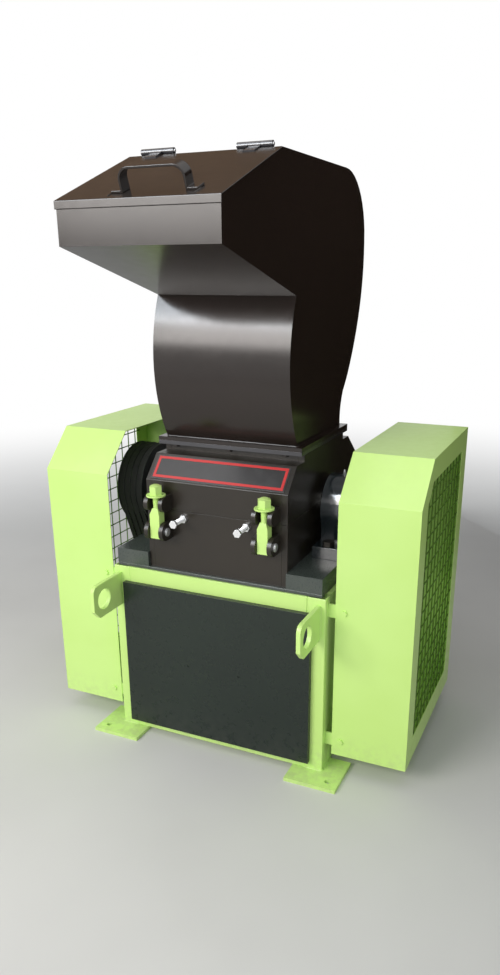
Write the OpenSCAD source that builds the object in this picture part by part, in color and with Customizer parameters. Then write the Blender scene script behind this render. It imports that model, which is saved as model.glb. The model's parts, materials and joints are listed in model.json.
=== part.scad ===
// Plastic granulator on a box frame, with a tilting upper chamber and hopper.
// X is the rotor axis, -Y is the operator's side and Z is up. The origin is on the floor,
// at the centre of the four foot bolts. All sizes are in millimetres.

/* [Base frame] */
// Width over the legs
frame_w = 618; // [600:2:660]
// Depth over the legs
frame_d = 564; // [550:2:620]
// Height from the floor to the top of the rails
frame_h = 504; // [490:2:560]
// Side of the square tube
tube = 50; // [40:2:52]
// Wall of the square tube
tube_wall = 5; // [3:1:6]
// Width of a foot plate
foot_w = 142; // [120:2:160]
// Depth of a foot plate
foot_d = 134; // [120:2:150]
// Thickness of a foot plate
foot_t = 10; // [8:1:14]
// Reach of a foot plate past the side of its leg
foot_out_x = 59; // [50:1:64]
// Reach of a foot plate past the front of its leg
foot_out_y = 66; // [50:1:70]
// Floor bolt hole
foot_hole_d = 16; // [12:1:20]
// Floor bolt hole to the edges of its plate
foot_hole_edge = 30; // [22:1:34]

/* [Lifting lugs] */
// Reach of a lug from the frame
lug_reach = 136; // [120:1:150]
// Height of a lug
lug_h = 94; // [86:1:110]
// Thickness of a lug
lug_t = 12; // [8:1:14]
// Hole of a lug
lug_hole_d = 56; // [40:1:60]

/* [Cutting chamber] */
// Width over the side plates
chamber_w = 400; // [380:2:404]
// Depth over the walls
chamber_d = 534; // [520:2:540]
// Thickness of side plates and walls
plate_t = 16; // [12:1:18]
// Rotor axis above the bed plate
axis_rise = 152; // [149:1:158]
// Split line above the rotor axis
split_rise = 12; // [8:1:18]
// Height of the upright part of the upper walls
shoulder_h = 77; // [72:1:90]
// Height of the slanted part of the upper walls
slope_h = 59; // [52:1:66]
// Depth of the front slant
slope_run = 57; // [46:1:62]
// Thickness of the bed plate
bed_t = 9; // [8:1:12]
// Height of a bearing pedestal
pedestal_h = 41; // [36:1:44]

/* [Rotor and knives] */
// Cutting circle
cut_d = 250; // [240:1:254]
// Running gap from rotor knife to bed knife
knife_gap = 1; // [0.5:0.1:2]
// Rotor knives
knife_n = 3; // [2:1:5]
// Thickness of a rotor knife
knife_t = 12; // [10:1:14]
// Depth of a rotor knife from root to edge
knife_h = 60; // [52:1:62]
// Shaft
shaft_d = 60; // [50:1:62]
// Bore of the screen holes
screen_hole_d = 14; // [8:1:16]

/* [Drive] */
// Driven pulley
driven_d = 240; // [220:1:250]
// Motor pulley
drive_d = 130; // [120:1:140]
// Belts
belt_n = 4; // [2:1:4]
// Top width of a belt
belt_w = 17; // [15:0.5:17]
// Flywheel
flywheel_d = 300; // [260:2:320]
// Motor shaft height above its base
motor_rise = 132; // [128:1:140]
// Motor body over the fins
motor_d = 250; // [220:2:256]
// Distance of the motor behind the rotor axis
motor_back = 128; // [124:1:132]

/* [Side guards] */
// Width of a guard
guard_w = 199; // [180:1:220]
// Depth of a guard
guard_d = 522; // [510:1:530]
// Underside of a guard above the floor
guard_lift = 57; // [40:1:70]
// Top of a guard above the floor
guard_top = 851; // [830:1:880]
// Depth of the front chamfer of a guard
guard_cut = 101; // [90:1:120]
// Gap from frame to guard
guard_gap = 18; // [14:1:24]
// Guard sheet
guard_sheet = 2; // [1.5:0.5:3]
// Pitch of the welded mesh
mesh_pitch = 39; // [34:1:50]
// Wire of the welded mesh
mesh_wire = 4; // [3:0.5:5]

/* [Hopper] */
// Width over the hopper sides
hopper_w = 372; // [350:2:376]
// Hopper sheet
hopper_sheet = 3; // [2:0.5:4]
// Height of the neck
neck_h = 359; // [340:1:380]
// Bulge of the neck sheet
neck_bulge = 45; // [35:1:55]
// Reach of the front panel from the neck
mouth_reach = 378; // [360:1:400]
// Rise of the floor of the mouth
mouth_rise = 105; // [90:1:120]
// Height of the front panel
mouth_h = 84; // [70:1:100]
// Rise of the lid from front to ridge
lid_rise = 113; // [100:1:125]
// Depth of the lid opening, front to ridge
lid_run = 295; // [280:1:310]

/* [Clamps] */
// Distance of a swing bolt from the middle
clamp_x = 152; // [146:1:156]
// Swing bolt shank
clamp_d = 16; // [12:1:18]
// Width of the swing bolt body
clamp_body = 28; // [24:1:30]
// Nut across flats
clamp_af = 30; // [27:1:32]
// Clamp washer
clamp_washer_d = 50; // [46:1:54]

/* [Collection bin] */
// Width of the front panel of the bin
bin_panel_w = 548; // [530:2:552]
// Lower edge of the front panel above the floor
bin_panel_z = 32; // [26:1:40]
// Height of the front panel of the bin
bin_panel_h = 431; // [410:1:436]
// Depth of the bin box
bin_d = 285; // [260:1:287]
// Height of the bin box
bin_h = 320; // [280:1:322]

/* [Hidden] */
$fn = 64;

// Paints and metals
lime = [0.66, 0.87, 0.33];
black_paint = [0.16, 0.14, 0.13];
bin_green = [0.15, 0.18, 0.16];
steel = [0.62, 0.63, 0.65];
zinc = [0.86, 0.87, 0.88];
cast = [0.13, 0.17, 0.19];
rubber = [0.07, 0.07, 0.07];
motor_blue = [0.24, 0.33, 0.42];

// Shared clearances and overruns
over = 1;
slip = 0.3;
fit = 0.05;
hole_slip = 0.4;

// Shares of a hexagon bolt, nut and washer
af_share = 1.6;
head_share = 0.65;
nut_share = 0.8;

// Levels of the base
half_w = frame_w / 2;
half_d = frame_d / 2;
leg_z = foot_t;
low_rail_top = foot_t + tube;
high_rail_z = frame_h - tube;
bed_inset_y = 5;
bed_y = half_d - bed_inset_y;
bed_top = frame_h + bed_t;
pedestal_top = bed_top + pedestal_h;

// Foot bolt pattern
foot_x = half_w + foot_out_x - foot_hole_edge;
foot_y = half_d + foot_out_y - foot_hole_edge;

// Chamber levels and faces
axis_z = bed_top + axis_rise;
split_z = axis_z + split_rise;
shoulder_z = split_z + shoulder_h;
shelf_z = shoulder_z + slope_h;
throat_h = 20;
throat_z = shelf_z + throat_h;
flange_t = 10;
flange_top = throat_z + 2 * flange_t;
side_x = chamber_w / 2;
inner_x = side_x - plate_t;
wall_y = chamber_d / 2;
inner_y = wall_y - plate_t;
throat_front = 158;
throat_back = 144;
back_slope_run = 75;
upper_wall_t = 10;
seam_gap = 0.15;

// Shaft passage and bearing housing
shaft_r = shaft_d / 2;
shaft_hole_gap = 2.5;
shaft_hole_r = shaft_r + shaft_hole_gap;
housing_gap = 18;
housing_w = 74;
housing_x0 = side_x + housing_gap;
housing_x1 = housing_x0 + housing_w;
bed_margin = 5;
bed_x = housing_x1 + bed_margin;
housing_r = 85;
housing_foot_y = 142;
housing_foot_h = 32;
housing_neck_y = 74;
bearing_r = 65;
bearing_w = 46;
bearing_ring_t = 9;
bearing_x0 = housing_x0 + (housing_w - bearing_w) / 2;
bearing_x1 = bearing_x0 + bearing_w;
roller_n = 13;
roller_r = 7.9;
roller_end_gap = 5;
cover_lip_t = 6;
cover_bore_slip = 2;
foot_bolt_d = 18;
foot_bolt_y = 118;

// Rotor
cut_r = cut_d / 2;
rotor_end_gap = 3;
rotor_x = inner_x - rotor_end_gap;
hub_r = 52;
arm_w = 50;
arm_r = 104;
arm_in = 2;
disc_t = 26;
disc_n = 4;
seat_w = 34;
seat_root = 44;
seat_top_share = 0.88;
knife_bevel = 13;
knife_bolt_d = 12;
knife_bolt_n = 4;
knife_bolt_drop = 34;
knife_end_gap = 2;

// Bed knives and their seats
bed_knife_t = 15;
bed_knife_rise = 2;
bed_knife_top = axis_z + bed_knife_rise;
bed_knife_edge = cut_r + knife_gap;
bed_knife_tail_gap = 15;
bed_knife_d = inner_y - bed_knife_edge - bed_knife_tail_gap;
seat_lip = 8;
bed_seat_h = 46;
seat_face_h = 20;
seat_heel_drop = 14;
seat_z1 = bed_knife_top - bed_knife_t;
seat_y0 = bed_knife_edge + seat_lip;
bed_bevel = 5;
bed_bolt_d = 12;
bed_bolt_n = 4;
adjust_d = 12;
adjust_x = 90;
adjust_out = 52;
adjust_z = bed_knife_top - bed_knife_t / 2;

// Screen
screen_gap = 6;
screen_t = 5;
screen_r = cut_r + screen_gap;
screen_half_angle = 62;
screen_rows = 7;
screen_cols = 9;
screen_end_gap = 2;
seat_tip_slip = 3;
seat_tip_y = (screen_r + screen_t) * sin(screen_half_angle) + seat_tip_slip;
seat_tip_z = axis_z - screen_r * cos(screen_half_angle) + seat_tip_slip;
rail_w = 14;
rail_t = 10;

// Discharge
chute_lap = 4;
chute_x = inner_x + chute_lap;
chute_t = 2;
chute_top_back = 152;
chute_front = 154;
chute_foot_y = 30;
chute_drop = 110;
chute_foot_z = frame_h - chute_drop;
bed_open_y = 150;

// Lugs
lug_drop = 17;
lug_inset = 13;
lug_corner = 20;
lug_hole_front = 47;
lug_foot_cut = 24;

// Guards and tabs
guard_x0 = half_w + guard_gap;
guard_x1 = guard_x0 + guard_w;
guard_y0 = -guard_d / 2;
guard_y1 = guard_d / 2;
guard_cut_z = guard_top - guard_cut;
tab_h = 36;
tab_t = 6;
tab_reach = 62;
tab_drop = 37;
tab_lift = 43;
tab_screw_reach = 42;
tab_high_z = frame_h - tab_drop;
tab_low_z = guard_lift + tab_lift;
guard_screw_x = half_w + tab_screw_reach;
guard_screw_d = 8;
window_side = 64;
window_floor = 64;
window_head = 56;
window_corner_y = 44;
window_corner_z = 48;
mesh_lap = 14;

// Drive
pulley_gap = 20;
pulley_x0 = housing_x1 + pulley_gap;
groove_pitch = 19;
groove_edge = 12.5;
pulley_w = groove_edge * 2 + groove_pitch * (belt_n - 1);
pulley_x1 = pulley_x0 + pulley_w;
groove_h = 14;
groove_taper_share = 0.34;
belt_h = 11;
belt_side_slip = 0.8;
belt_sink = 1;
rim_t = 12;
web_t = 16;
pulley_hub_r = 52;
web_hole_d = 34;
web_hole_n = 5;
flywheel_w = 54;
flywheel_inset = 8;
flywheel_x0 = guard_x0 + flywheel_inset;
flywheel_rim = 34;
flywheel_hub_r = 58;
flywheel_web_t = 20;
flywheel_hole_d = 44;
flywheel_hole_n = 6;
shaft_end = 12;

// Motor
motor_base_t = 10;
motor_y = motor_back;
motor_base_z = low_rail_top + motor_base_t;
motor_z = motor_base_z + motor_rise;
motor_r = motor_d / 2;
motor_fin_h = 15;
motor_fin_root = motor_r - motor_fin_h;
motor_fin_t = 4;
motor_fin_n = 24;
motor_x0 = -206;
motor_x1 = 150;
shield_t = 26;
shield_drop = 8;
fan_cover_l = 84;
motor_foot_w = 196;
motor_foot_t = 14;
motor_foot_l = 44;
motor_foot_x = 89;
motor_shaft_d = 38;
motor_bolt_d = 12;
motor_base_y = 196;
box_w = 96;
box_d = 104;
box_h = 46;
box_lid_t = 6;
box_pad = 3;
fan_sheet = 2;
fan_slot_n = 4;
motor_bolt_edge = 20;
motor_bolt_y = motor_foot_w / 2 - motor_bolt_edge;
motor_x = (motor_x0 + motor_x1) / 2;
motor_base_inset = 19;
motor_base_x = half_w - motor_base_inset;
motor_bore_l = 60;
nut_clear = 2;
gland_d = 26;
gland_l = 16;

// Hopper outline
neck_front = -172;
neck_back = 152;
neck_top = flange_top + neck_h;
neck_edge_shift = 18;
mouth_y = neck_front - neck_edge_shift - mouth_reach;
mouth_z = neck_top + mouth_rise;
lid_z = mouth_z + mouth_h;
ridge_y = mouth_y + lid_run;
ridge_z = lid_z + lid_rise;
roof_back = 150;
roof_r = 175;
back_y = roof_back + roof_r;
nape_y = 150;
nape_rise = 45;
nape_in = 6;
nape_out = 22;
back_foot_out = 58;
back_foot_rise = 130;
back_belly_out = 14;
back_belly_rise = 310;
rim_w = 22;
flange_over_x = 18;
flange_over_y = 16;
flange_bolt_d = 10;
flange_bolt_inset = 11;
flange_bolt_x = 156;

// Lid, hinge and handle
lid_t = 3;
lid_over = 3;
lid_lip_h = 14;
lid_angle = atan2(lid_rise, lid_run);
lid_len = norm([lid_run, lid_rise]);
lid_hinge_x = 120;
lid_hinge_l = 84;
barrel_r = 7;
hinge_pin_d = 7;
leaf_t = 2.5;
leaf_d = 34;
lid_pin_back = 3;
barrel_gap = 0.5;
lid_pin_y = ridge_y + lid_pin_back;
lid_pin_z = ridge_z + barrel_r + barrel_gap;
handle_w = 150;
handle_h = 48;
handle_bar_w = 30;
handle_bar_t = 5;
handle_bend_r = 26;
handle_foot = 22;
handle_up = 26;
handle_x = 30;

// Clamp and rear hinge
clamp_reach = 33;
pivot_drop = 49;
clamp_y = wall_y + clamp_reach;
pivot_z = split_z - pivot_drop;
pivot_d = 16;
ear_t = 12;
lower_ear_r = 24;
ear_slip = 1.5;
ear_gap = clamp_body / 2 + ear_slip;
upper_ear_lift = 5;
upper_ear_h = 40;
upper_ear_z0 = split_z + upper_ear_lift;
upper_ear_z1 = upper_ear_z0 + upper_ear_h;
clamp_body_low = 18;
clamp_body_h = 62;
clamp_taper_h = 16;
clamp_body_d = 26;
washer_t = 4;
nut_h = 26;
nut_dome_h = 4;
clamp_thread_free = 6;
rear_pin_reach = 24;
rear_pin_y = wall_y + rear_pin_reach;
rear_pin_d = 20;
knuckle_r = 17;
knuckle_w = 26;
knuckle_gap = 1;
rear_hinge_x = 150;
knuckle_leaf_h = 46;
hinge_half = knuckle_w * 1.5 + knuckle_gap;
pin_end = 5;
pin_head_r = 11;
pin_head_t = 4;

// Collection bin
bin_proud = 15;
bin_sheet = 2;
bin_floor_z = 66;
bin_side_gap = 7;
bin_x = half_w - tube - bin_side_gap;
bin_front_y = -half_d - bin_proud;
bin_hole_d = 8;
bin_hole_x = 76;
bin_hole_z = 215;
runner_w = 34;
runner_h = 30;
runner_t = 3;

// Side panels between the legs
panel_t = 2;
panel_inset = 7;
panel_hole_r = drive_d / 2 + 14;

// Sign plate on the front slant
sign_t = 1.5;
sign_side_gap = 12;
sign_edge_gap = 5;

function arc(c, r, a0, a1, n) =
  [for (i = [0 : n]) let (a = a0 + (a1 - a0) * i / n) c + r * [cos(a), sin(a)]];
function curve(p, q, r, n) =
  [for (i = [0 : n]) let (t = i / n) p * (1 - t) * (1 - t) + q * 2 * t * (1 - t) + r * t * t];
function unit(v) = v / norm(v);
function left_of(v) = [-v[1], v[0]];
// Outline moved inwards by t; the points run anticlockwise.
function inset(p, t) = [for (i = [0 : len(p) - 1])
  let (n0 = left_of(unit(p[i] - p[(i + len(p) - 1) % len(p)])),
       n1 = left_of(unit(p[(i + 1) % len(p)] - p[i])),
       m = unit(n0 + n1))
  p[i] + m * t / (m * n0)];

module block(lo, hi) translate(lo) cube(hi - lo);
module both_sides() { children(); mirror([1, 0, 0]) children(); }
module front_and_back() { children(); mirror([0, 1, 0]) children(); }
module four_corners() both_sides() front_and_back() children();
// A flat outline in Y and Z, drawn out from x0 to x1.
module along_x(x0, x1) translate([x0, 0, 0]) rotate([90, 0, 90]) linear_extrude(x1 - x0) children();
module rod_x(x0, x1, r) translate([x0, 0, 0]) rotate([0, 90, 0]) cylinder(r = r, h = x1 - x0);
module rod_y(y0, y1, r) translate([0, y1, 0]) rotate([90, 0, 0]) cylinder(r = r, h = y1 - y0);
module hexagon(af, h) cylinder(r = af / 2 / cos(30), h = h, $fn = 6);
// A hexagon bolt with its head on z = 0 and its shank below.
module hex_bolt(d, l) {
  hexagon(d * af_share, d * head_share);
  translate([0, 0, -l]) cylinder(d = d, h = l + over);
}
module hex_nut(d) {
  difference() {
    hexagon(d * af_share, d * nut_share);
    translate([0, 0, -over]) cylinder(d = d + hole_slip, h = d * nut_share + 2 * over);
  }
}
module square_tube_z(l) difference() {
  cube([tube, tube, l]);
  translate([tube_wall, tube_wall, -over])
    cube([tube - 2 * tube_wall, tube - 2 * tube_wall, l + 2 * over]);
}
module square_tube_x(l) rotate([90, 0, 90]) square_tube_z(l);
module square_tube_y(l) translate([0, l, 0]) rotate([90, 0, 0]) square_tube_z(l);

module foot_plates() color(lime) four_corners() difference() {
  translate([half_w + foot_out_x - foot_w, half_d + foot_out_y - foot_d, 0])
    cube([foot_w, foot_d, foot_t]);
  translate([foot_x, foot_y, -over]) cylinder(d = foot_hole_d, h = foot_t + 2 * over);
}
module frame_legs() color(lime) four_corners()
  translate([half_w - tube, half_d - tube, leg_z]) square_tube_z(frame_h - leg_z);
module frame_rails() color(lime) for (z = [leg_z, high_rail_z]) {
  front_and_back() translate([tube - half_w, half_d - tube, z]) square_tube_x(frame_w - 2 * tube);
  both_sides() translate([half_w - tube, tube - half_d, z]) square_tube_y(frame_d - 2 * tube);
}
module lug_outline() {
  z1 = frame_h - lug_drop;
  z0 = z1 - lug_h;
  tip = half_d + lug_reach;
  polygon(concat(
    [[half_d, z0], [tip - lug_foot_cut, z0], [tip, z0 + lug_foot_cut]],
    arc([tip - lug_corner, z1 - lug_corner], lug_corner, 0, 90, 6),
    [[half_d, z1]]));
}
module lifting_lugs() color(lime) four_corners() difference() {
  along_x(half_w - lug_inset - lug_t, half_w - lug_inset) lug_outline();
  translate([0, half_d + lug_reach - lug_hole_front, frame_h - lug_drop - lug_h / 2])
    rod_x(half_w - lug_inset - lug_t - over, half_w - lug_inset + over, lug_hole_d / 2);
}
module guard_tabs() color(lime) four_corners() for (z = [tab_low_z, tab_high_z]) difference() {
  block([half_w, guard_y1 - guard_sheet - tab_t, z - tab_h / 2],
        [half_w + tab_reach, guard_y1 - guard_sheet, z + tab_h / 2]);
  translate([guard_screw_x, 0, z])
    rod_y(guard_y1 - guard_sheet - tab_t - over, guard_y1, (guard_screw_d + hole_slip) / 2);
}
module side_panel() block([half_w - panel_inset - panel_t, tube - half_d, low_rail_top],
                          [half_w - panel_inset, half_d - tube, high_rail_z]);
module side_panels() color(lime) {
  side_panel();
  difference() {
    mirror([1, 0, 0]) side_panel();
    translate([0, motor_y, motor_z]) rod_x(-half_w, 0, panel_hole_r);
  }
}
module bin_runners() color(lime) both_sides() {
  x1 = half_w - tube;
  z1 = bin_floor_z - slip;
  y1 = bin_front_y + bin_d;
  block([x1 - runner_w, tube - half_d, z1 - runner_t], [x1, y1, z1]);
  block([x1 - runner_t, tube - half_d, z1 - runner_h], [x1, y1, z1]);
}

module bed_plate() color(cast) difference() {
  block([-bed_x, -bed_y, frame_h], [bed_x, bed_y, bed_top]);
  block([-inner_x, -bed_open_y, frame_h - over], [inner_x, bed_open_y, bed_top + over]);
}
module bearing_pedestals() color(cast) both_sides() difference() {
  block([side_x, -bed_y, bed_top], [bed_x, bed_y, pedestal_top]);
  housing_bolt_places() cylinder(d = foot_bolt_d + hole_slip, h = pedestal_h);
}
module housing_bolt_places() for (y = [-foot_bolt_y, foot_bolt_y])
  translate([(housing_x0 + housing_x1) / 2, y, bed_top + over]) children();

module shaft_hole() translate([0, 0, axis_z]) rod_x(-side_x - over, side_x + over, shaft_hole_r);
module lower_side_plates() color(black_paint) difference() {
  both_sides() block([inner_x, -wall_y, bed_top], [side_x, wall_y, split_z - seam_gap]);
  shaft_hole();
}
module lower_walls() color(black_paint) front_and_back() difference() {
  block([-inner_x, inner_y, bed_top], [inner_x, wall_y, split_z - seam_gap]);
  for (x = [-adjust_x, adjust_x]) translate([x, 0, adjust_z])
    rod_y(inner_y - over, wall_y + over, (adjust_d + hole_slip) / 2);
}
module bed_bolt_places(z) for (i = [0 : bed_bolt_n - 1])
  translate([inner_x * (2 * (i + 0.5) / bed_bolt_n - 1), (seat_y0 + inner_y) / 2, z]) children();
module bed_knife_seats() color(black_paint) front_and_back() difference() {
  along_x(-inner_x, inner_x) polygon([
    [inner_y, seat_z1], [seat_y0, seat_z1], [seat_y0, seat_z1 - seat_face_h],
    [seat_tip_y, seat_tip_z], [inner_y, seat_tip_z - seat_heel_drop]]);
  bed_bolt_places(seat_z1 - bed_seat_h - over)
    cylinder(d = bed_bolt_d + hole_slip, h = bed_seat_h + 2 * over);
}
module bed_knives() color(steel) front_and_back() difference() {
  along_x(knife_end_gap - inner_x, inner_x - knife_end_gap) polygon([
    [bed_knife_edge, bed_knife_top],
    [bed_knife_edge + bed_bevel, seat_z1],
    [bed_knife_edge + bed_knife_d, seat_z1],
    [bed_knife_edge + bed_knife_d, bed_knife_top]]);
  bed_bolt_places(seat_z1 - over) cylinder(d = bed_bolt_d + hole_slip, h = bed_knife_t + 2 * over);
}
// Hold-down bolts from above, and the adjusting bolts that push the knives from outside.
module bed_knife_bolts() color(zinc) front_and_back() {
  bed_bolt_places(bed_knife_top) hex_bolt(bed_bolt_d, bed_knife_t + bed_seat_h - bed_bolt_d);
  for (x = [-adjust_x, adjust_x]) translate([x, wall_y, adjust_z]) rotate([-90, 0, 0]) {
    translate([0, 0, adjust_out]) hex_bolt(adjust_d, wall_y + adjust_out - bed_knife_edge - bed_knife_d);
    hex_nut(adjust_d);
  }
}

module ring_sector(x0, x1, r0, r1, half_angle) intersection() {
  translate([x0, 0, axis_z]) rotate([0, 90, 0]) difference() {
    cylinder(r = r1, h = x1 - x0);
    translate([0, 0, -over]) cylinder(r = r0, h = x1 - x0 + 2 * over);
  }
  along_x(x0 - over, x1 + over) polygon([
    [0, axis_z], [-(r1 + over) * tan(half_angle), axis_z - r1 - over],
    [(r1 + over) * tan(half_angle), axis_z - r1 - over]]);
}
module screen() color(steel) difference() {
  ring_sector(screen_end_gap - inner_x, inner_x - screen_end_gap,
              screen_r, screen_r + screen_t, screen_half_angle);
  for (i = [0 : screen_rows - 1], j = [0 : screen_cols - 1])
    translate([(inner_x - rail_w) * (2 * (j + 0.5) / screen_cols - 1), 0, axis_z])
      rotate([screen_half_angle * (2 * (i + 0.5) / screen_rows - 1), 0, 0])
        translate([0, 0, -screen_r - screen_t - over])
          cylinder(d = screen_hole_d, h = screen_t + 2 * over, $fn = 24);
}
module screen_rails() color(black_paint) both_sides()
  ring_sector(inner_x - rail_w, inner_x, screen_r + screen_t + fit,
              screen_r + screen_t + rail_t, screen_half_angle);
module discharge_chute() color(steel) {
  foot = [-chute_foot_y, chute_foot_z];
  back = [chute_top_back, frame_h];
  drop = [0, -chute_t];
  along_x(-chute_x, chute_x)
    polygon([back, foot, foot + drop, back + drop + [chute_t, 0], back + [chute_t, 0]]);
  both_sides() along_x(chute_x, chute_x + chute_t) polygon([
    [-chute_front, frame_h], [-chute_front, chute_foot_z - chute_t], foot + drop,
    back + drop + [chute_t, 0], back + [chute_t, 0]]);
  block([-chute_x, -chute_front, chute_foot_z], [chute_x, chute_t - chute_front, frame_h]);
}

// One ear in Y and Z: a flat root on the wall and a round nose towards the operator.
module ear_outline(z0, z1) polygon(concat(
  [[-wall_y, z1], [-wall_y, z0]],
  arc([-clamp_y, (z0 + z1) / 2], (z1 - z0) / 2, -90, -270, 16)));
module ear_pair() for (s = [-1, 1], t = [-1, 1]) translate([s * clamp_x, 0, 0])
  along_x(t > 0 ? ear_gap : -ear_gap - ear_t, t > 0 ? ear_gap + ear_t : -ear_gap) children();
module lower_clamp_ears() color(black_paint) difference() {
  ear_pair() ear_outline(pivot_z - lower_ear_r, pivot_z + lower_ear_r);
  pin_holes(pivot_d + hole_slip);
}
module pin_holes(d) for (s = [-1, 1]) translate([s * clamp_x, -clamp_y, pivot_z])
  rod_x(-ear_gap - ear_t - over, ear_gap + ear_t + over, d / 2);
module pivot_pins() color(zinc) {
  for (s = [-1, 1]) translate([s * clamp_x, -clamp_y, pivot_z]) {
    rod_x(-ear_gap - ear_t - pin_end, ear_gap + ear_t + pin_end, pivot_d / 2);
    rod_x(ear_gap + ear_t, ear_gap + ear_t + pin_head_t, pin_head_r);
  }
  for (s = [-1, 1]) translate([s * rear_hinge_x, rear_pin_y, split_z]) {
    rod_x(-hinge_half - pin_end, hinge_half + pin_end, rear_pin_d / 2);
    rod_x(hinge_half, hinge_half + pin_head_t, rear_pin_d / 2 + pin_head_t);
  }
}
module knuckle(x0, x1, z0, z1) difference() {
  union() {
    translate([0, rear_pin_y, split_z]) rod_x(x0, x1, knuckle_r);
    block([x0, wall_y, z0], [x1, rear_pin_y, z1]);
  }
  translate([0, rear_pin_y, split_z]) rod_x(x0 - over, x1 + over, rear_pin_d / 2 + fit);
}
module rear_hinge_lower() color(black_paint) for (s = [-1, 1], t = [-1, 1])
  translate([s * rear_hinge_x + t * (knuckle_w + knuckle_gap), 0, 0])
    knuckle(-knuckle_w / 2, knuckle_w / 2, split_z - knuckle_leaf_h, split_z - knuckle_gap);
module rear_hinge_upper() color(black_paint) for (s = [-1, 1])
  translate([s * rear_hinge_x, 0, 0])
    knuckle(-knuckle_w / 2, knuckle_w / 2, split_z + knuckle_gap, split_z + knuckle_leaf_h);

module housing_body() {
  translate([0, 0, axis_z]) rod_x(housing_x0, housing_x1, housing_r);
  block([housing_x0, -housing_neck_y, pedestal_top], [housing_x1, housing_neck_y, axis_z]);
  block([housing_x0, -housing_foot_y, pedestal_top],
        [housing_x1, housing_foot_y, pedestal_top + housing_foot_h]);
}
module bearing_housings() color(cast) both_sides() difference() {
  housing_body();
  translate([0, 0, axis_z]) {
    rod_x(housing_x0 + cover_lip_t, housing_x1 - cover_lip_t, bearing_r);
    rod_x(housing_x0 - over, housing_x1 + over, shaft_r + cover_bore_slip);
  }
  housing_bolt_places() cylinder(d = foot_bolt_d + hole_slip, h = pedestal_h + housing_foot_h);
}
module ring_x(x0, x1, r0, r1) difference() {
  rod_x(x0, x1, r1);
  rod_x(x0 - over, x1 + over, r0);
}
module bearing_outer_rings() color(steel) both_sides() translate([0, 0, axis_z])
  ring_x(bearing_x0, bearing_x1, bearing_r - bearing_ring_t, bearing_r - fit);
// Inner ring with its cage of rollers, which turn with the shaft.
module bearing_inner_rings() color(steel) both_sides() translate([0, 0, axis_z]) {
  ring_x(bearing_x0, bearing_x1, shaft_r + fit, bearing_r - bearing_ring_t - slip - 2 * roller_r + fit);
  for (i = [0 : roller_n - 1]) rotate([360 * i / roller_n, 0, 0])
    translate([0, 0, bearing_r - bearing_ring_t - slip - roller_r])
      rod_x(bearing_x0 + roller_end_gap, bearing_x1 - roller_end_gap, roller_r);
}
module hold_down_bolts() color(steel) {
  both_sides() housing_bolt_places()
    translate([0, 0, pedestal_h + housing_foot_h - over]) hex_bolt(foot_bolt_d, pedestal_h);
  motor_bolt_places() translate([0, 0, motor_foot_t]) hex_bolt(motor_bolt_d, motor_foot_t + motor_base_t);
}

module at_motor() translate([0, motor_y, motor_z]) children();
module motor_feet() for (s = [-1, 1]) translate([motor_x + s * motor_foot_x, motor_y, motor_base_z]) {
  block([-motor_foot_l / 2, -motor_foot_w / 2, 0], [motor_foot_l / 2, motor_foot_w / 2, motor_foot_t]);
  block([-motor_foot_l / 4, -motor_foot_w / 4, 0], [motor_foot_l / 4, motor_foot_w / 4, motor_rise / 2]);
}
module motor_bolt_places() for (s = [-1, 1], t = [-1, 1])
  translate([motor_x + s * motor_foot_x, motor_y + t * motor_bolt_y, motor_base_z]) children();
function turned(a, r, s) = [r * cos(a) - s * sin(a), r * sin(a) + s * cos(a)];
module motor_body() color(motor_blue) difference() {
  union() {
    at_motor() {
      along_x(motor_x0 + shield_t, motor_x1 - shield_t) polygon([
        for (i = [0 : motor_fin_n - 1], p = [[motor_fin_root, -1], [motor_r, -1],
                                             [motor_r, 1], [motor_fin_root, 1]])
          turned(360 * (i + 0.5) / motor_fin_n, p[0], p[1] * motor_fin_t / 2)]);
      rod_x(motor_x0, motor_x0 + shield_t, motor_r - shield_drop);
      rod_x(motor_x1 - shield_t, motor_x1, motor_r - shield_drop);
      block([motor_x - box_w / 2, -box_d / 2, motor_r - 2 * motor_fin_h],
            [motor_x + box_w / 2, box_d / 2, motor_r + box_pad]);
    }
    motor_feet();
  }
  motor_bolt_places() translate([0, 0, -over])
    cylinder(d = motor_bolt_d + hole_slip, h = motor_foot_t + 2 * over);
  at_motor() rod_x(motor_x0 - over, motor_x0 + motor_bore_l, motor_shaft_d / 2 + fit);
}
module motor_fan_cover() color(motor_blue) at_motor() difference() {
  rod_x(motor_x1, motor_x1 + fan_cover_l, motor_r - shield_drop);
  rod_x(motor_x1 - over, motor_x1 + fan_cover_l - fan_sheet, motor_r - shield_drop - fan_sheet);
  for (i = [1 : fan_slot_n], s = [-1, 1]) translate([0, s * i * motor_r / (fan_slot_n + 2), 0])
    block([motor_x1 + fan_cover_l - fan_sheet - over, -fan_sheet, -motor_r / 2],
          [motor_x1 + fan_cover_l + over, fan_sheet, motor_r / 2]);
}
module motor_terminal_box() color(motor_blue) translate([motor_x, motor_y, motor_z + motor_r + box_pad]) {
  block([-box_w / 2, -box_d / 2, 0], [box_w / 2, box_d / 2, box_h - box_lid_t]);
  block([-box_w / 2 - fan_sheet, -box_d / 2 - fan_sheet, box_h - box_lid_t],
        [box_w / 2 + fan_sheet, box_d / 2 + fan_sheet, box_h]);
  translate([box_w / 2, 0, box_h / 2 - box_lid_t / 2]) rod_x(0, gland_l, gland_d / 2);
}
module motor_base() color(lime) {
  difference() {
    block([-motor_base_x, motor_y - motor_base_y / 2, low_rail_top],
          [motor_base_x, motor_y + motor_base_y / 2, motor_base_z]);
    motor_bolt_places() translate([0, 0, -motor_base_t - over])
      cylinder(d = motor_bolt_d + hole_slip, h = motor_base_t + 2 * over);
  }
}

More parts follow.
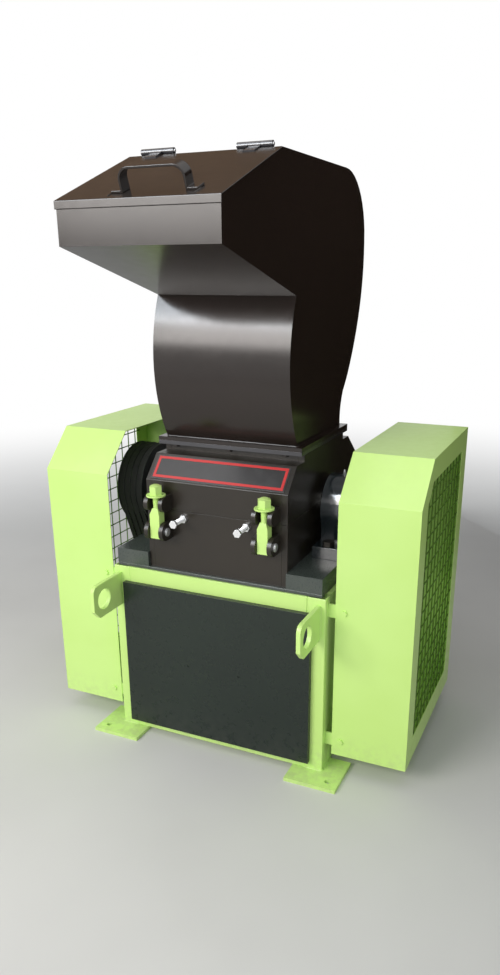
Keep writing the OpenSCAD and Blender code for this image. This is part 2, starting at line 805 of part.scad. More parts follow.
guard_outline = [
  [guard_y0, guard_lift], [guard_y1, guard_lift], [guard_y1, guard_top],
  [guard_y0 + guard_cut, guard_top], [guard_y0, guard_cut_z]];
window_y0 = guard_y0 + window_side;
window_y1 = guard_y1 - window_side;
window_z0 = guard_lift + window_floor;
window_z1 = guard_top - window_head;
module guard_window(grow) polygon([
  [window_y0 - grow, window_z0 - grow], [window_y1 + grow, window_z0 - grow],
  [window_y1 + grow, window_z1 + grow], [window_y0 + window_corner_y - grow / 2, window_z1 + grow],
  [window_y0 - grow, window_z1 - window_corner_z + grow / 2]]);
module guard_shell() difference() {
  along_x(guard_x0, guard_x1) polygon(guard_outline);
  along_x(guard_x0 - over, guard_x1 - guard_sheet) polygon(inset(guard_outline, guard_sheet));
  along_x(guard_x0, guard_x1 + over) guard_window(0);
  front_and_back() for (z = [tab_low_z, tab_high_z]) translate([guard_screw_x, 0, z])
    rod_y(guard_y1 - tab_t, guard_y1 + over, (guard_screw_d + hole_slip) / 2);
}
module guard_right() color(lime) guard_shell();
module guard_left() color(lime) mirror([1, 0, 0]) guard_shell();
module guard_meshes() color(lime) both_sides()
  along_x(guard_x1 - guard_sheet - mesh_wire, guard_x1 - guard_sheet) intersection() {
    guard_window(mesh_lap);
    mesh_grid();
  }
module mesh_grid() {
  for (y = [window_y0 - mesh_lap : mesh_pitch : window_y1 + mesh_lap])
    translate([y, window_z0 - mesh_lap]) square([mesh_wire, window_z1 - window_z0 + 2 * mesh_lap]);
  for (z = [window_z0 - mesh_lap : mesh_pitch : window_z1 + mesh_lap])
    translate([window_y0 - mesh_lap, z]) square([window_y1 - window_y0 + 2 * mesh_lap, mesh_wire]);
}
module guard_screws() color(zinc) four_corners() for (z = [tab_low_z, tab_high_z])
  translate([guard_screw_x, guard_y1, z]) rotate([-90, 0, 0])
    hex_bolt(guard_screw_d, guard_sheet + tab_t + guard_screw_d);

// Belt path in Y and Z round both pulleys, moved out by e from the outer face of the belt.
function belt_path(e) =
  let (r1 = driven_d / 2 - belt_sink + e, r2 = drive_d / 2 - belt_sink + e,
       way = [motor_y, motor_z - axis_z], d = atan2(way[1], way[0]), w = asin((r1 - r2) / norm(way)))
  concat(arc([0, axis_z], r1, d + 90 - w, d + 270 + w, 24),
         arc([motor_y, motor_z], r2, d - 90 + w, d + 90 - w, 16));
module belt(x) {
  outer = belt_path(0);
  inner = belt_path(-belt_h);
  n = len(outer);
  half_top = belt_w / 2 - belt_side_slip;
  half_low = half_top - belt_h * groove_taper_share;
  points = [for (i = [0 : n - 1]) each [
    [x - half_top, outer[i][0], outer[i][1]], [x + half_top, outer[i][0], outer[i][1]],
    [x + half_low, inner[i][0], inner[i][1]], [x - half_low, inner[i][0], inner[i][1]]]];
  faces = [for (i = [0 : n - 1], k = [0 : 3])
    [4 * i + k, 4 * i + (k + 1) % 4, 4 * ((i + 1) % n) + (k + 1) % 4, 4 * ((i + 1) % n) + k]];
  polyhedron(points, faces, convexity = 6);
}
module drive_belts() color(rubber) for (i = [0 : belt_n - 1])
  belt(-pulley_x0 - groove_edge - i * groove_pitch);

upper_outline = [
  [-wall_y, split_z + seam_gap], [wall_y, split_z + seam_gap], [wall_y, shoulder_z],
  [wall_y - back_slope_run, shelf_z], [throat_back, shelf_z], [throat_back, throat_z],
  [-throat_front, throat_z], [-throat_front, shelf_z], [slope_run - wall_y, shelf_z],
  [-wall_y, shoulder_z]];
module upper_side_plates() color(black_paint) difference() {
  both_sides() along_x(inner_x, side_x) polygon(upper_outline);
  shaft_hole();
}
module upper_walls() color(black_paint) along_x(-inner_x, inner_x) difference() {
  polygon(upper_outline);
  polygon(inset(upper_outline, upper_wall_t));
  translate([upper_wall_t - wall_y, split_z]) square([chamber_d - 2 * upper_wall_t, 2 * upper_wall_t]);
  translate([upper_wall_t - throat_front, shelf_z - 2 * upper_wall_t])
    square([throat_front + throat_back - 2 * upper_wall_t, throat_h + 3 * upper_wall_t]);
}
flange_y0 = neck_front - flange_over_y;
flange_y1 = neck_back + flange_over_y;
flange_x = hopper_w / 2 + flange_over_x;
module flange_bolt_places() {
  for (x = [-flange_bolt_x, 0, flange_bolt_x],
       y = [flange_y0 + flange_bolt_inset, flange_y1 - flange_bolt_inset])
    translate([x, y, 0]) children();
}
// A flange ring: outer rectangle, inner opening, and the bolt holes.
module flange_ring(z, y0, y1) difference() {
  block([-flange_x, flange_y0, z], [flange_x, flange_y1, z + flange_t]);
  block([hopper_sheet - hopper_w / 2, y0, z - over],
        [hopper_w / 2 - hopper_sheet, y1, z + flange_t + over]);
  flange_bolt_places() translate([0, 0, z - over])
    cylinder(d = flange_bolt_d + hole_slip, h = flange_t + 2 * over);
}
module throat_flange() color(black_paint)
  flange_ring(throat_z, upper_wall_t - throat_front, throat_back - upper_wall_t);
// Bolts from below, threaded into the hopper's flange.
module flange_bolts() color(black_paint) flange_bolt_places() translate([0, 0, throat_z])
  mirror([0, 0, 1]) hex_bolt(flange_bolt_d, 2 * flange_t - over);
slope_len = norm([slope_run, slope_h]);
slope_angle = atan2(slope_h, slope_run);
module on_slope() translate([0, -wall_y, shoulder_z]) rotate([slope_angle, 0, 0]) children();
module sign_plate() {
  x1 = side_x - sign_side_gap;
  color(black_paint) on_slope()
    block([-x1, sign_edge_gap, 0], [x1, slope_len - sign_edge_gap, sign_t]);
}
module upper_clamp_ears() color(black_paint) ear_pair() ear_outline(upper_ear_z0, upper_ear_z1);

// Hopper side outline, anticlockwise from the neck's front foot.
hopper_back = concat(
  curve([neck_back, flange_top], [neck_back - nape_in, flange_top + nape_rise],
        [nape_y + nape_out, flange_top + 2 * nape_rise], 5),
  curve([nape_y + back_foot_out, flange_top + back_foot_rise],
        [back_y + back_belly_out, flange_top + back_belly_rise], [back_y, ridge_z - roof_r], 12),
  arc([roof_back, ridge_z - roof_r], roof_r, 10, 90, 10));
neck_chord = norm([neck_edge_shift, neck_h]);
neck_r = (neck_chord * neck_chord / 4 + neck_bulge * neck_bulge) / 2 / neck_bulge;
neck_half_angle = asin(neck_chord / 2 / neck_r);
neck_mid = [neck_front - neck_edge_shift / 2, flange_top + neck_h / 2];
neck_dir = unit([-neck_edge_shift, neck_h]);
neck_centre = neck_mid - left_of(neck_dir) * (neck_r - neck_bulge);
neck_base_angle = atan2(left_of(neck_dir)[1], left_of(neck_dir)[0]);
hopper_front = concat(
  [[ridge_y, ridge_z], [mouth_y, lid_z], [mouth_y, mouth_z]],
  arc(neck_centre, neck_r, neck_base_angle - neck_half_angle, neck_base_angle + neck_half_angle, 14));
hopper_outline = concat(hopper_back, hopper_front);
module hopper_shell() color(black_paint) {
  difference() {
    along_x(-hopper_w / 2, hopper_w / 2) polygon(hopper_outline);
    along_x(hopper_sheet - hopper_w / 2, hopper_w / 2 - hopper_sheet)
      polygon(inset(hopper_outline, hopper_sheet));
    block([hopper_sheet - hopper_w / 2, neck_front + hopper_sheet, flange_top - over],
          [hopper_w / 2 - hopper_sheet, neck_back - hopper_sheet, flange_top + 2 * hopper_sheet]);
    at_lid() block([rim_w - hopper_w / 2, rim_w - lid_len, -4 * hopper_sheet],
                   [hopper_w / 2 - rim_w, -rim_w, over]);
  }
  flange_ring(throat_z + flange_t, neck_front + hopper_sheet, neck_back - hopper_sheet);
}
// Frame of the lid: the origin is on the ridge, -Y runs down the lid and Z is square to it.
module at_lid() translate([0, ridge_y, ridge_z]) rotate([lid_angle, 0, 0]) children();
lid_x = hopper_w / 2 + lid_over;
lid_back_gap = 9;
// Height over the floor of a line square distance h above the lid's seat, at depth y.
function lid_height(y, h) = ridge_z + (y - ridge_y) * tan(lid_angle) + h / cos(lid_angle);
module lid_panel() color(black_paint) along_x(-lid_x, lid_x) polygon([
  [mouth_y - slip - lid_t, lid_z - lid_lip_h], [mouth_y - slip, lid_z - lid_lip_h],
  [mouth_y - slip, lid_height(mouth_y - slip, slip)],
  [ridge_y - lid_back_gap, lid_height(ridge_y - lid_back_gap, slip)],
  [ridge_y - lid_back_gap, lid_height(ridge_y - lid_back_gap, slip + lid_t)],
  [mouth_y - slip - lid_t, lid_height(mouth_y - slip - lid_t, slip + lid_t)]]);
module handle_bar() difference() {
  handle_loop(handle_w / 2, handle_h, handle_bend_r);
  handle_loop(handle_w / 2 - handle_bar_t, handle_h - handle_bar_t, handle_bend_r - handle_bar_t);
}
module handle_loop(x, z, r) polygon(concat(
  [[x, 0]], arc([x - r, z - r], r, 0, 90, 8), arc([r - x, z - r], r, 90, 180, 8), [[-x, 0]]));
module lid_handle() color(black_paint) at_lid()
  translate([handle_x, handle_up + handle_bar_w - lid_len, slip + lid_t]) rotate([90, 0, 0]) {
    linear_extrude(handle_bar_w) handle_bar();
    for (s = [-1, 1]) translate([s > 0 ? handle_w / 2 - handle_bar_t : -handle_w / 2 - handle_foot, 0, 0])
      cube([handle_foot + handle_bar_t, handle_bar_t, handle_bar_w]);
  }
module lid_hinge_leaves() color(black_paint) for (s = [-1, 1], t = [-1, 1]) {
  x0 = s * lid_hinge_x + (t > 0 ? lid_hinge_l / 6 + barrel_gap : -lid_hinge_l / 2);
  x1 = x0 + lid_hinge_l / 3 - barrel_gap;
  difference() {
    union() {
      translate([0, lid_pin_y, lid_pin_z]) rod_x(x0, x1, barrel_r);
      block([x0, lid_pin_y, ridge_z], [x1, lid_pin_y + leaf_d, ridge_z + leaf_t]);
    }
    translate([0, lid_pin_y, lid_pin_z]) rod_x(x0 - over, x1 + over, hinge_pin_d / 2 + fit);
  }
}
module lid_hinge_knuckles() color(black_paint) for (s = [-1, 1]) {
  x0 = s * lid_hinge_x - lid_hinge_l / 6;
  x1 = x0 + lid_hinge_l / 3;
  difference() {
    union() {
      translate([0, lid_pin_y, lid_pin_z]) rod_x(x0, x1, barrel_r);
      at_lid() block([x0, -leaf_d, slip + lid_t], [x1, 0, slip + lid_t + leaf_t]);
    }
    translate([0, lid_pin_y, lid_pin_z]) rod_x(x0 - over, x1 + over, hinge_pin_d / 2 + fit);
  }
}
module lid_hinge_pins() color(zinc) for (s = [-1, 1])
  translate([s * lid_hinge_x, lid_pin_y, lid_pin_z])
    rod_x(-lid_hinge_l / 2 - leaf_t, lid_hinge_l / 2 + leaf_t, hinge_pin_d / 2);

// Swing bolt upright on its pivot, then its nut and washer.
shank_top = upper_ear_z1 + slip + washer_t + nut_h - clamp_thread_free;
module swing_bolt() translate([0, -clamp_y, 0]) difference() {
  union() {
    intersection() {
      along_x(-clamp_body / 2, clamp_body / 2) body_side(clamp_body_d / 2);
      rotate([0, 0, 90]) along_x(-clamp_body_d / 2, clamp_body_d / 2) body_side(clamp_body / 2);
    }
    translate([0, 0, pivot_z]) cylinder(d = clamp_d, h = shank_top - pivot_z);
  }
  translate([0, 0, pivot_z]) rod_x(-clamp_body, clamp_body, pivot_d / 2 + fit);
}
module body_side(h) polygon([
  [-h, pivot_z - clamp_body_low], [h, pivot_z - clamp_body_low],
  [h, pivot_z + clamp_body_h - clamp_taper_h], [clamp_d / 2, pivot_z + clamp_body_h],
  [-clamp_d / 2, pivot_z + clamp_body_h], [-h, pivot_z + clamp_body_h - clamp_taper_h]]);
module clamp_nut() translate([0, -clamp_y, upper_ear_z1 + slip]) difference() {
  union() {
    cylinder(d = clamp_washer_d, h = washer_t);
    translate([0, 0, washer_t]) hexagon(clamp_af, nut_h - nut_dome_h);
    translate([0, 0, washer_t + nut_h - nut_dome_h])
      cylinder(d1 = clamp_af, d2 = clamp_d, h = nut_dome_h);
  }
  translate([0, 0, -over]) cylinder(d = clamp_d + 2 * fit, h = washer_t + nut_h - nut_dome_h + over);
}
module swing_bolt_left() color(lime) translate([-clamp_x, 0, 0]) swing_bolt();
module swing_bolt_right() color(lime) translate([clamp_x, 0, 0]) swing_bolt();
module clamp_nut_left() color(lime) translate([-clamp_x, 0, 0]) clamp_nut();
module clamp_nut_right() color(lime) translate([clamp_x, 0, 0]) clamp_nut();

module rotor_shaft() color(steel) translate([0, 0, axis_z])
  rod_x(-pulley_x1 - shaft_end, flywheel_x0 + flywheel_w + shaft_end, shaft_r);
module on_rotor(i) translate([0, 0, axis_z]) rotate([360 * i / knife_n, 0, 0]) children();
module rotor_body() color(cast) difference() {
  union() {
    for (k = [0 : disc_n - 1]) {
      x0 = -rotor_x + k * (2 * rotor_x - disc_t) / (disc_n - 1);
      translate([0, 0, axis_z]) rod_x(x0, x0 + disc_t, hub_r);
      for (i = [0 : knife_n - 1]) on_rotor(i)
        block([x0 + arm_in, knife_t, shaft_r], [x0 + disc_t - arm_in, knife_t + arm_w, arm_r]);
    }
    for (i = [0 : knife_n - 1]) on_rotor(i)
      block([arm_in / 2 - rotor_x, knife_t, seat_root],
            [rotor_x - arm_in / 2, knife_t + seat_w, cut_r * seat_top_share]);
  }
  translate([0, 0, axis_z]) rod_x(-side_x, side_x, shaft_r + fit);
  for (i = [0 : knife_n - 1]) on_rotor(i) knife_bolt_places()
    rod_y(knife_t - over, knife_t + seat_w - knife_bolt_d / 2, (knife_bolt_d + hole_slip) / 2);
}
module knife_bolt_places() for (j = [0 : knife_bolt_n - 1])
  translate([rotor_x * (2 * (j + 0.5) / knife_bolt_n - 1), 0, cut_r - knife_bolt_drop]) children();
module rotor_knives() color(zinc) for (i = [0 : knife_n - 1]) on_rotor(i) difference() {
  along_x(-rotor_x, rotor_x) polygon([
    [0, cut_r - knife_h], [knife_t, cut_r - knife_h], [knife_t, cut_r - knife_bevel], [0, cut_r]]);
  knife_bolt_places() rod_y(-over, knife_t + over, (knife_bolt_d + hole_slip) / 2);
}
module rotor_knife_bolts() color(steel) for (i = [0 : knife_n - 1]) on_rotor(i)
  knife_bolt_places() rotate([90, 0, 0]) hex_bolt(knife_bolt_d, knife_t + seat_w - knife_bolt_d);

function pulley_profile(r, hub) = concat(
  [[hub, 0], [r, 0]],
  [for (i = [0 : belt_n - 1]) each let (x = groove_edge + i * groove_pitch, w = belt_w / 2) [
    [r, x - w], [r - groove_h, x - w + groove_h * groove_taper_share],
    [r - groove_h, x + w - groove_h * groove_taper_share], [r, x + w]]],
  [[r, pulley_w], [hub, pulley_w]]);
module pulley(r, hub) rotate([0, 90, 0]) rotate_extrude($fn = 96) polygon(pulley_profile(r, hub));
module driven_pulley() color(cast) translate([-pulley_x1, 0, axis_z]) difference() {
  pulley(driven_d / 2, shaft_r + fit);
  for (x = [-over, (pulley_w + web_t) / 2]) difference() {
    rod_x(x, x + (pulley_w - web_t) / 2 + over, driven_d / 2 - groove_h - rim_t);
    rod_x(x - over, x + pulley_w, pulley_hub_r);
  }
  for (i = [0 : web_hole_n - 1]) rotate([360 * i / web_hole_n, 0, 0])
    translate([0, 0, (pulley_hub_r + driven_d / 2 - groove_h - rim_t) / 2])
      rod_x(-over, pulley_w + over, web_hole_d / 2);
}
module flywheel() color(cast) translate([flywheel_x0, 0, axis_z]) difference() {
  ring_x(0, flywheel_w, shaft_r + fit, flywheel_d / 2);
  for (x = [-over, (flywheel_w + flywheel_web_t) / 2]) difference() {
    rod_x(x, x + (flywheel_w - flywheel_web_t) / 2 + over, flywheel_d / 2 - flywheel_rim);
    rod_x(x - over, x + flywheel_w, flywheel_hub_r);
  }
  for (i = [0 : flywheel_hole_n - 1]) rotate([360 * i / flywheel_hole_n, 0, 0])
    translate([0, 0, (flywheel_hub_r + flywheel_d / 2 - flywheel_rim) / 2])
      rod_x(-over, flywheel_w + over, flywheel_hole_d / 2);
}
module motor_shaft() color(steel) at_motor()
  rod_x(-pulley_x1 - shaft_end, motor_x0 + motor_bore_l - nut_clear, motor_shaft_d / 2);
module motor_pulley() color(cast) translate([-pulley_x1, motor_y, motor_z])
  pulley(drive_d / 2, motor_shaft_d / 2 + fit);

module collection_bin() color(bin_green) difference() {
  block([-bin_x, bin_front_y + bin_sheet, bin_floor_z], [bin_x, bin_front_y + bin_d, bin_floor_z + bin_h]);
  block([bin_sheet - bin_x, bin_front_y + 2 * bin_sheet, bin_floor_z + bin_sheet],
        [bin_x - bin_sheet, bin_front_y + bin_d - bin_sheet, bin_floor_z + bin_h + over]);
}
module bin_front() color(bin_green) difference() {
  block([-bin_panel_w / 2, bin_front_y, bin_panel_z],
        [bin_panel_w / 2, -half_d - slip, bin_panel_z + bin_panel_h]);
  block([bin_sheet - bin_panel_w / 2, bin_front_y + bin_sheet, bin_panel_z + bin_sheet],
        [bin_panel_w / 2 - bin_sheet, -half_d, bin_panel_z + bin_panel_h - bin_sheet]);
  for (x = [-bin_hole_x, bin_hole_x]) translate([x, 0, bin_panel_z + bin_hole_z])
    rod_y(bin_front_y - over, bin_front_y + 2 * bin_sheet, bin_hole_d / 2);
}

foot_plates();
frame_legs();
frame_rails();
lifting_lugs();
guard_tabs();
side_panels();
bin_runners();
bed_plate();
bearing_pedestals();
lower_side_plates();
lower_walls();
bed_knife_seats();
bed_knives();
bed_knife_bolts();
screen();
screen_rails();
discharge_chute();
lower_clamp_ears();
pivot_pins();
rear_hinge_lower();
bearing_housings();
bearing_outer_rings();
hold_down_bolts();
motor_body();
motor_fan_cover();
motor_terminal_box();
motor_base();
guard_left();
guard_right();
guard_meshes();
guard_screws();
drive_belts();
upper_side_plates();
upper_walls();
throat_flange();
flange_bolts();
sign_plate();
upper_clamp_ears();
rear_hinge_upper();
hopper_shell();
lid_hinge_leaves();
lid_hinge_pins();
lid_panel();
lid_handle();
lid_hinge_knuckles();
swing_bolt_left();
swing_bolt_right();
clamp_nut_left();
clamp_nut_right();
rotor_shaft();
rotor_body();
rotor_knives();
rotor_knife_bolts();
bearing_inner_rings();
driven_pulley();
flywheel();
motor_shaft();
motor_pulley();
collection_bin();
bin_front();
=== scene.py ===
"""Looks of a plastic granulator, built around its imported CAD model.

The CAD nodes keep their shapes. Each one is joined, rounded at its edges and
given a painted, machined, cast, plated or rubber finish. Small fittings that
the solids leave out, such as weld beads, threads, bushes, shaft seals and
grease nipples, are modelled here and ride on the body that carries them.
Their sizes are in millimetres, and the studio's are in metres.
"""

import json
import logging
import math
from dataclasses import dataclass, field
from enum import Enum
from typing import Optional, Sequence

import bmesh
import bpy
from mathutils import Matrix, Vector
from mathutils.bvhtree import BVHTree

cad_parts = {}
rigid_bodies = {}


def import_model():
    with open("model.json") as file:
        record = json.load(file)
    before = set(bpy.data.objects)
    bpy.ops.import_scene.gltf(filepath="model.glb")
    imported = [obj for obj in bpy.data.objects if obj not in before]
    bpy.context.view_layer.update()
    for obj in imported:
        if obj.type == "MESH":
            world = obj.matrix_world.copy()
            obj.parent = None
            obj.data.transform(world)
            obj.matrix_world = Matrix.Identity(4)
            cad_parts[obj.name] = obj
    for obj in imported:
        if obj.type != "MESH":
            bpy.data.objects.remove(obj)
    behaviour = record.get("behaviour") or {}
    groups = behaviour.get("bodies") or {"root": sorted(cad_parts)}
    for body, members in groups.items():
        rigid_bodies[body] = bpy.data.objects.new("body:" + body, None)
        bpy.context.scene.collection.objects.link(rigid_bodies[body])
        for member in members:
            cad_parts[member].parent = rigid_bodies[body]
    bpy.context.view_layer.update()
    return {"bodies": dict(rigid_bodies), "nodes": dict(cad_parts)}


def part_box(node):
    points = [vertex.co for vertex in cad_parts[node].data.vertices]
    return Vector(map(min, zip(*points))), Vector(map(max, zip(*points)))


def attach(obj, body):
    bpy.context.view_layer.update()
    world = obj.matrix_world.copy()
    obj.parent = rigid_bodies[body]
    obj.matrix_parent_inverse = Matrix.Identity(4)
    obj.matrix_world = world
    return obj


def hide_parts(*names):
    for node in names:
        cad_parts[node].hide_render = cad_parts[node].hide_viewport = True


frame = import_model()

log = logging.getLogger("granulator")

Triple = tuple[float, float, float]
Colour = tuple[float, float, float, float]
# Radius and height of each point of an outline that is turned round an axis.
Profile = tuple[tuple[float, float], ...]

MM = 0.001
# The height of the rotor's axis in millimetres, which the flywheel turns round.
AXIS_Z = sum(corner.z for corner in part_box("flywheel")) / 2 / MM
WHITE: Colour = (1.0, 1.0, 1.0, 1.0)
# Degrees above which an edge of a weld bead or a thread stays sharp.
BEAD_ANGLE = 60.0


class Body(Enum):
    """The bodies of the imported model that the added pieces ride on."""

    BASE = "frame_and_lower_chamber"
    UPPER = "upper_chamber"
    LID = "hopper_lid"
    BOLT_LEFT = "swing_bolt_left"
    BOLT_RIGHT = "swing_bolt_right"
    ROTOR = "rotor"
    MOTOR = "motor_rotor"


class Slot(Enum):
    """The record's material slots."""

    LIME = "lime_paint"
    BLACK = "black_paint"
    GREEN = "dark_green_paint"
    CAST = "cast_iron_paint"
    STEEL = "bare_steel"
    ZINC = "zinc_plate"
    RUBBER = "belt_rubber"
    MOTOR = "motor_paint"


class Axis(Enum):
    """The direction that a turned piece points in."""

    X = (1.0, 0.0, 0.0)
    Y = (0.0, 1.0, 0.0)
    Z = (0.0, 0.0, 1.0)
    BACK_X = (-1.0, 0.0, 0.0)


def linear(red: int, green: int, blue: int) -> Colour:
    """Turns a display colour into the linear one that shaders use.

    Args:
        red: Red share from 0 to 255.
        green: Green share from 0 to 255.
        blue: Blue share from 0 to 255.

    Returns:
        The linear colour with full alpha.
    """

    def channel(value: int) -> float:
        """One channel made linear."""
        share = value / 255
        return share / 12.92 if share <= 0.04045 else ((share + 0.055) / 1.055) ** 2.4

    return (channel(red), channel(green), channel(blue), 1.0)


class Graph:
    """Adds nodes to one node tree and joins them."""

    def __init__(self, tree: bpy.types.NodeTree) -> None:
        """Keeps the tree that nodes are added to."""
        self.tree = tree

    @classmethod
    def emptied(cls, owner: bpy.types.Material | bpy.types.World) -> "Graph":
        """Turns on the node tree of a material or a world and empties it.

        Args:
            owner: What the tree belongs to.

        Returns:
            The tree's graph.
        """
        owner.use_nodes = True
        owner.node_tree.nodes.clear()
        return cls(owner.node_tree)

    def node(self, kind: str, inputs: Optional[dict] = None, **props: object) -> bpy.types.Node:
        """Adds a node.

        Args:
            kind: The node's type name.
            inputs: Socket name or index to a value, or to the socket that feeds it.
            props: Settings of the node itself.

        Returns:
            The new node.
        """
        made = self.tree.nodes.new(kind)
        for name, value in props.items():
            setattr(made, name, value)
        for key, value in (inputs or {}).items():
            if isinstance(value, bpy.types.NodeSocket):
                self.tree.links.new(value, made.inputs[key])
            else:
                made.inputs[key].default_value = value
        return made

    def place(self) -> bpy.types.NodeSocket:
        """The place on the object, in metres."""
        return self.node("ShaderNodeTexCoord").outputs["Object"]

    def noise(self, vector: bpy.types.NodeSocket, scale: object, detail: float,
              rough: float = 0.5) -> bpy.types.NodeSocket:
        """A noise pattern's value.

        Args:
            vector: The coordinates that it reads.
            scale: Its scale per metre, or that scale's socket.
            detail: Its octaves.
            rough: How strong the fine octaves are.

        Returns:
            The value socket.
        """
        return self.node("ShaderNodeTexNoise", {
            "Vector": vector, "Scale": scale, "Detail": detail, "Roughness": rough,
        }).outputs["Fac"]

    def ramp(self, value: bpy.types.NodeSocket, low: float, high: float,
             to_low: float = 0.0, to_high: float = 1.0) -> bpy.types.NodeSocket:
        """A value mapped smoothly from one range to another.

        Args:
            value: The value's socket.
            low: Where the ramp starts.
            high: Where it ends.
            to_low: What it gives at its start.
            to_high: What it gives at its end.

        Returns:
            The mapped value's socket.
        """
        return self.node("ShaderNodeMapRange", {
            "Value": value, "From Min": low, "From Max": high,
            "To Min": to_low, "To Max": to_high,
        }, interpolation_type="SMOOTHSTEP").outputs["Result"]

    def maths(self, kind: str, first: object, second: object) -> bpy.types.NodeSocket:
        """The result of an operation on two values or sockets."""
        return self.node("ShaderNodeMath", {0: first, 1: second}, operation=kind).outputs[0]

    def mix(self, share: object, first: object, second: object) -> bpy.types.NodeSocket:
        """Two colours mixed.

        Args:
            share: How much of the second colour is used.
            first: The first colour, or its socket.
            second: The second colour, or its socket.

        Returns:
            The mixed colour's socket.
        """
        return self.node("ShaderNodeMix", {0: share, 6: first, 7: second},
                         data_type="RGBA", blend_type="MIX").outputs[2]

    def bump(self, strength: bpy.types.NodeSocket, distance: float, height: bpy.types.NodeSocket,
             under: Optional[bpy.types.NodeSocket] = None) -> bpy.types.NodeSocket:
        """A fine relief of the surface.

        Args:
            strength: How strongly it shows.
            distance: Its depth in metres.
            height: The pattern that it follows.
            under: The normal of another relief that it lies on.

        Returns:
            The normal's socket.
        """
        inputs = {"Strength": strength, "Distance": distance, "Height": height}
        if under is not None:
            inputs["Normal"] = under
        return self.node("ShaderNodeBump", inputs).outputs["Normal"]

    def seen(self) -> bpy.types.NodeSocket:
        """One where the camera, or a mirror or glass, looks, and zero for other light."""
        path = self.node("ShaderNodeLightPath").outputs
        first = self.maths("MAXIMUM", path["Is Camera Ray"], path["Is Glossy Ray"])
        return self.maths("MAXIMUM", first, path["Is Transmission Ray"])


class Skin:
    """A node group that several finishes share, built the first time that it is asked for."""

    title = ""
    inputs: dict[str, object] = {}
    kinds = {1: "NodeSocketFloat", 3: "NodeSocketVector", 4: "NodeSocketColor"}
    outputs = {"Colour": 4, "Roughness": 1, "Normal": 3}

    @classmethod
    def wire(cls, graph: Graph, got: bpy.types.NodeOutputs) -> tuple[bpy.types.NodeSocket, ...]:
        """Adds the group's nodes.

        Args:
            graph: The group's graph.
            got: The sockets that bring in the group's values.

        Returns:
            The sockets of the colour, the roughness and the normal.
        """
        raise NotImplementedError

    @classmethod
    def group(cls) -> bpy.types.NodeTree:
        """The group's tree with its sockets and its nodes.

        Returns:
            The tree.
        """
        known = bpy.data.node_groups.get(cls.title)
        if known is not None:
            return known
        tree = bpy.data.node_groups.new(cls.title, "ShaderNodeTree")
        for name, value in cls.inputs.items():
            kind = cls.kinds[len(value) if isinstance(value, tuple) else 1]
            tree.interface.new_socket(name, in_out="INPUT", socket_type=kind).default_value = value
        for name, count in cls.outputs.items():
            tree.interface.new_socket(name, in_out="OUTPUT", socket_type=cls.kinds[count])
        graph = Graph(tree)
        feeds = cls.wire(graph, graph.node("NodeGroupInput").outputs)
        graph.node("NodeGroupOutput", dict(zip(cls.outputs, feeds)))
        return tree


class SprayedPaint(Skin):
    """Paint with slow shade changes, orange peel, settled dust and floor grime."""

    title = "sprayed_paint"
    inputs = {"Colour": (0.5, 0.5, 0.5, 1.0), "Shade": (0.4, 0.4, 0.4, 1.0), "Dust": 0.1,
              "Grime": 0.2, "Gloss": 0.3, "Peel": 0.1, "Runs": 0.1}
    dirt_colour: Colour = (0.32, 0.30, 0.26, 1.0)
    dirt_rough = 0.45
    grime_top = 0.16
    film_share = 0.05
    peel_depth = 0.0006
    run_depth = 0.004

    @classmethod
    def wire(cls, graph: Graph, got: bpy.types.NodeOutputs) -> tuple[bpy.types.NodeSocket, ...]:
        """Adds the paint's nodes.

        Args:
            graph: The group's graph.
            got: The sockets that bring in the group's values.

        Returns:
            The sockets of the colour, the roughness and the normal.
        """
        place = graph.place()
        facing = graph.node("ShaderNodeSeparateXYZ", {
            0: graph.node("ShaderNodeNewGeometry").outputs["Normal"]}).outputs["Z"]
        height = graph.node("ShaderNodeSeparateXYZ", {0: place}).outputs["Z"]
        slow = graph.ramp(graph.noise(place, scale=3.1, detail=3.0), low=0.3, high=0.72)
        fine = graph.noise(place, scale=46.0, detail=4.0, rough=0.6)
        paint = graph.mix(slow, got["Colour"], got["Shade"])
        film = graph.ramp(graph.noise(place, scale=900.0, detail=1.0), low=0.66, high=0.8)
        paint = graph.mix(graph.maths("MULTIPLY", film, cls.film_share), paint, got["Shade"])
        settled = graph.maths("MULTIPLY", graph.ramp(facing, low=0.35, high=1.0),
                              graph.ramp(fine, low=0.3, high=0.75))
        settled = graph.maths("MULTIPLY", settled, got["Dust"])
        low = graph.maths("MULTIPLY", graph.ramp(height, low=cls.grime_top, high=0.0),
                          graph.ramp(fine, low=0.35, high=0.7))
        dirt = graph.maths("MAXIMUM", settled, graph.maths("MULTIPLY", low, got["Grime"]))
        rough = graph.maths("ADD", got["Gloss"], graph.maths("MULTIPLY", dirt, cls.dirt_rough))
        rough = graph.maths("ADD", rough,
                            graph.ramp(fine, low=0.2, high=0.8, to_low=-0.02, to_high=0.03))
        peel = graph.bump(got["Peel"], cls.peel_depth, graph.noise(place, scale=420.0, detail=1.5))
        runs = graph.bump(got["Runs"], cls.run_depth, graph.noise(place, scale=5.5, detail=1.0),
                          under=peel)
        return graph.mix(dirt, paint, cls.dirt_colour), rough, runs


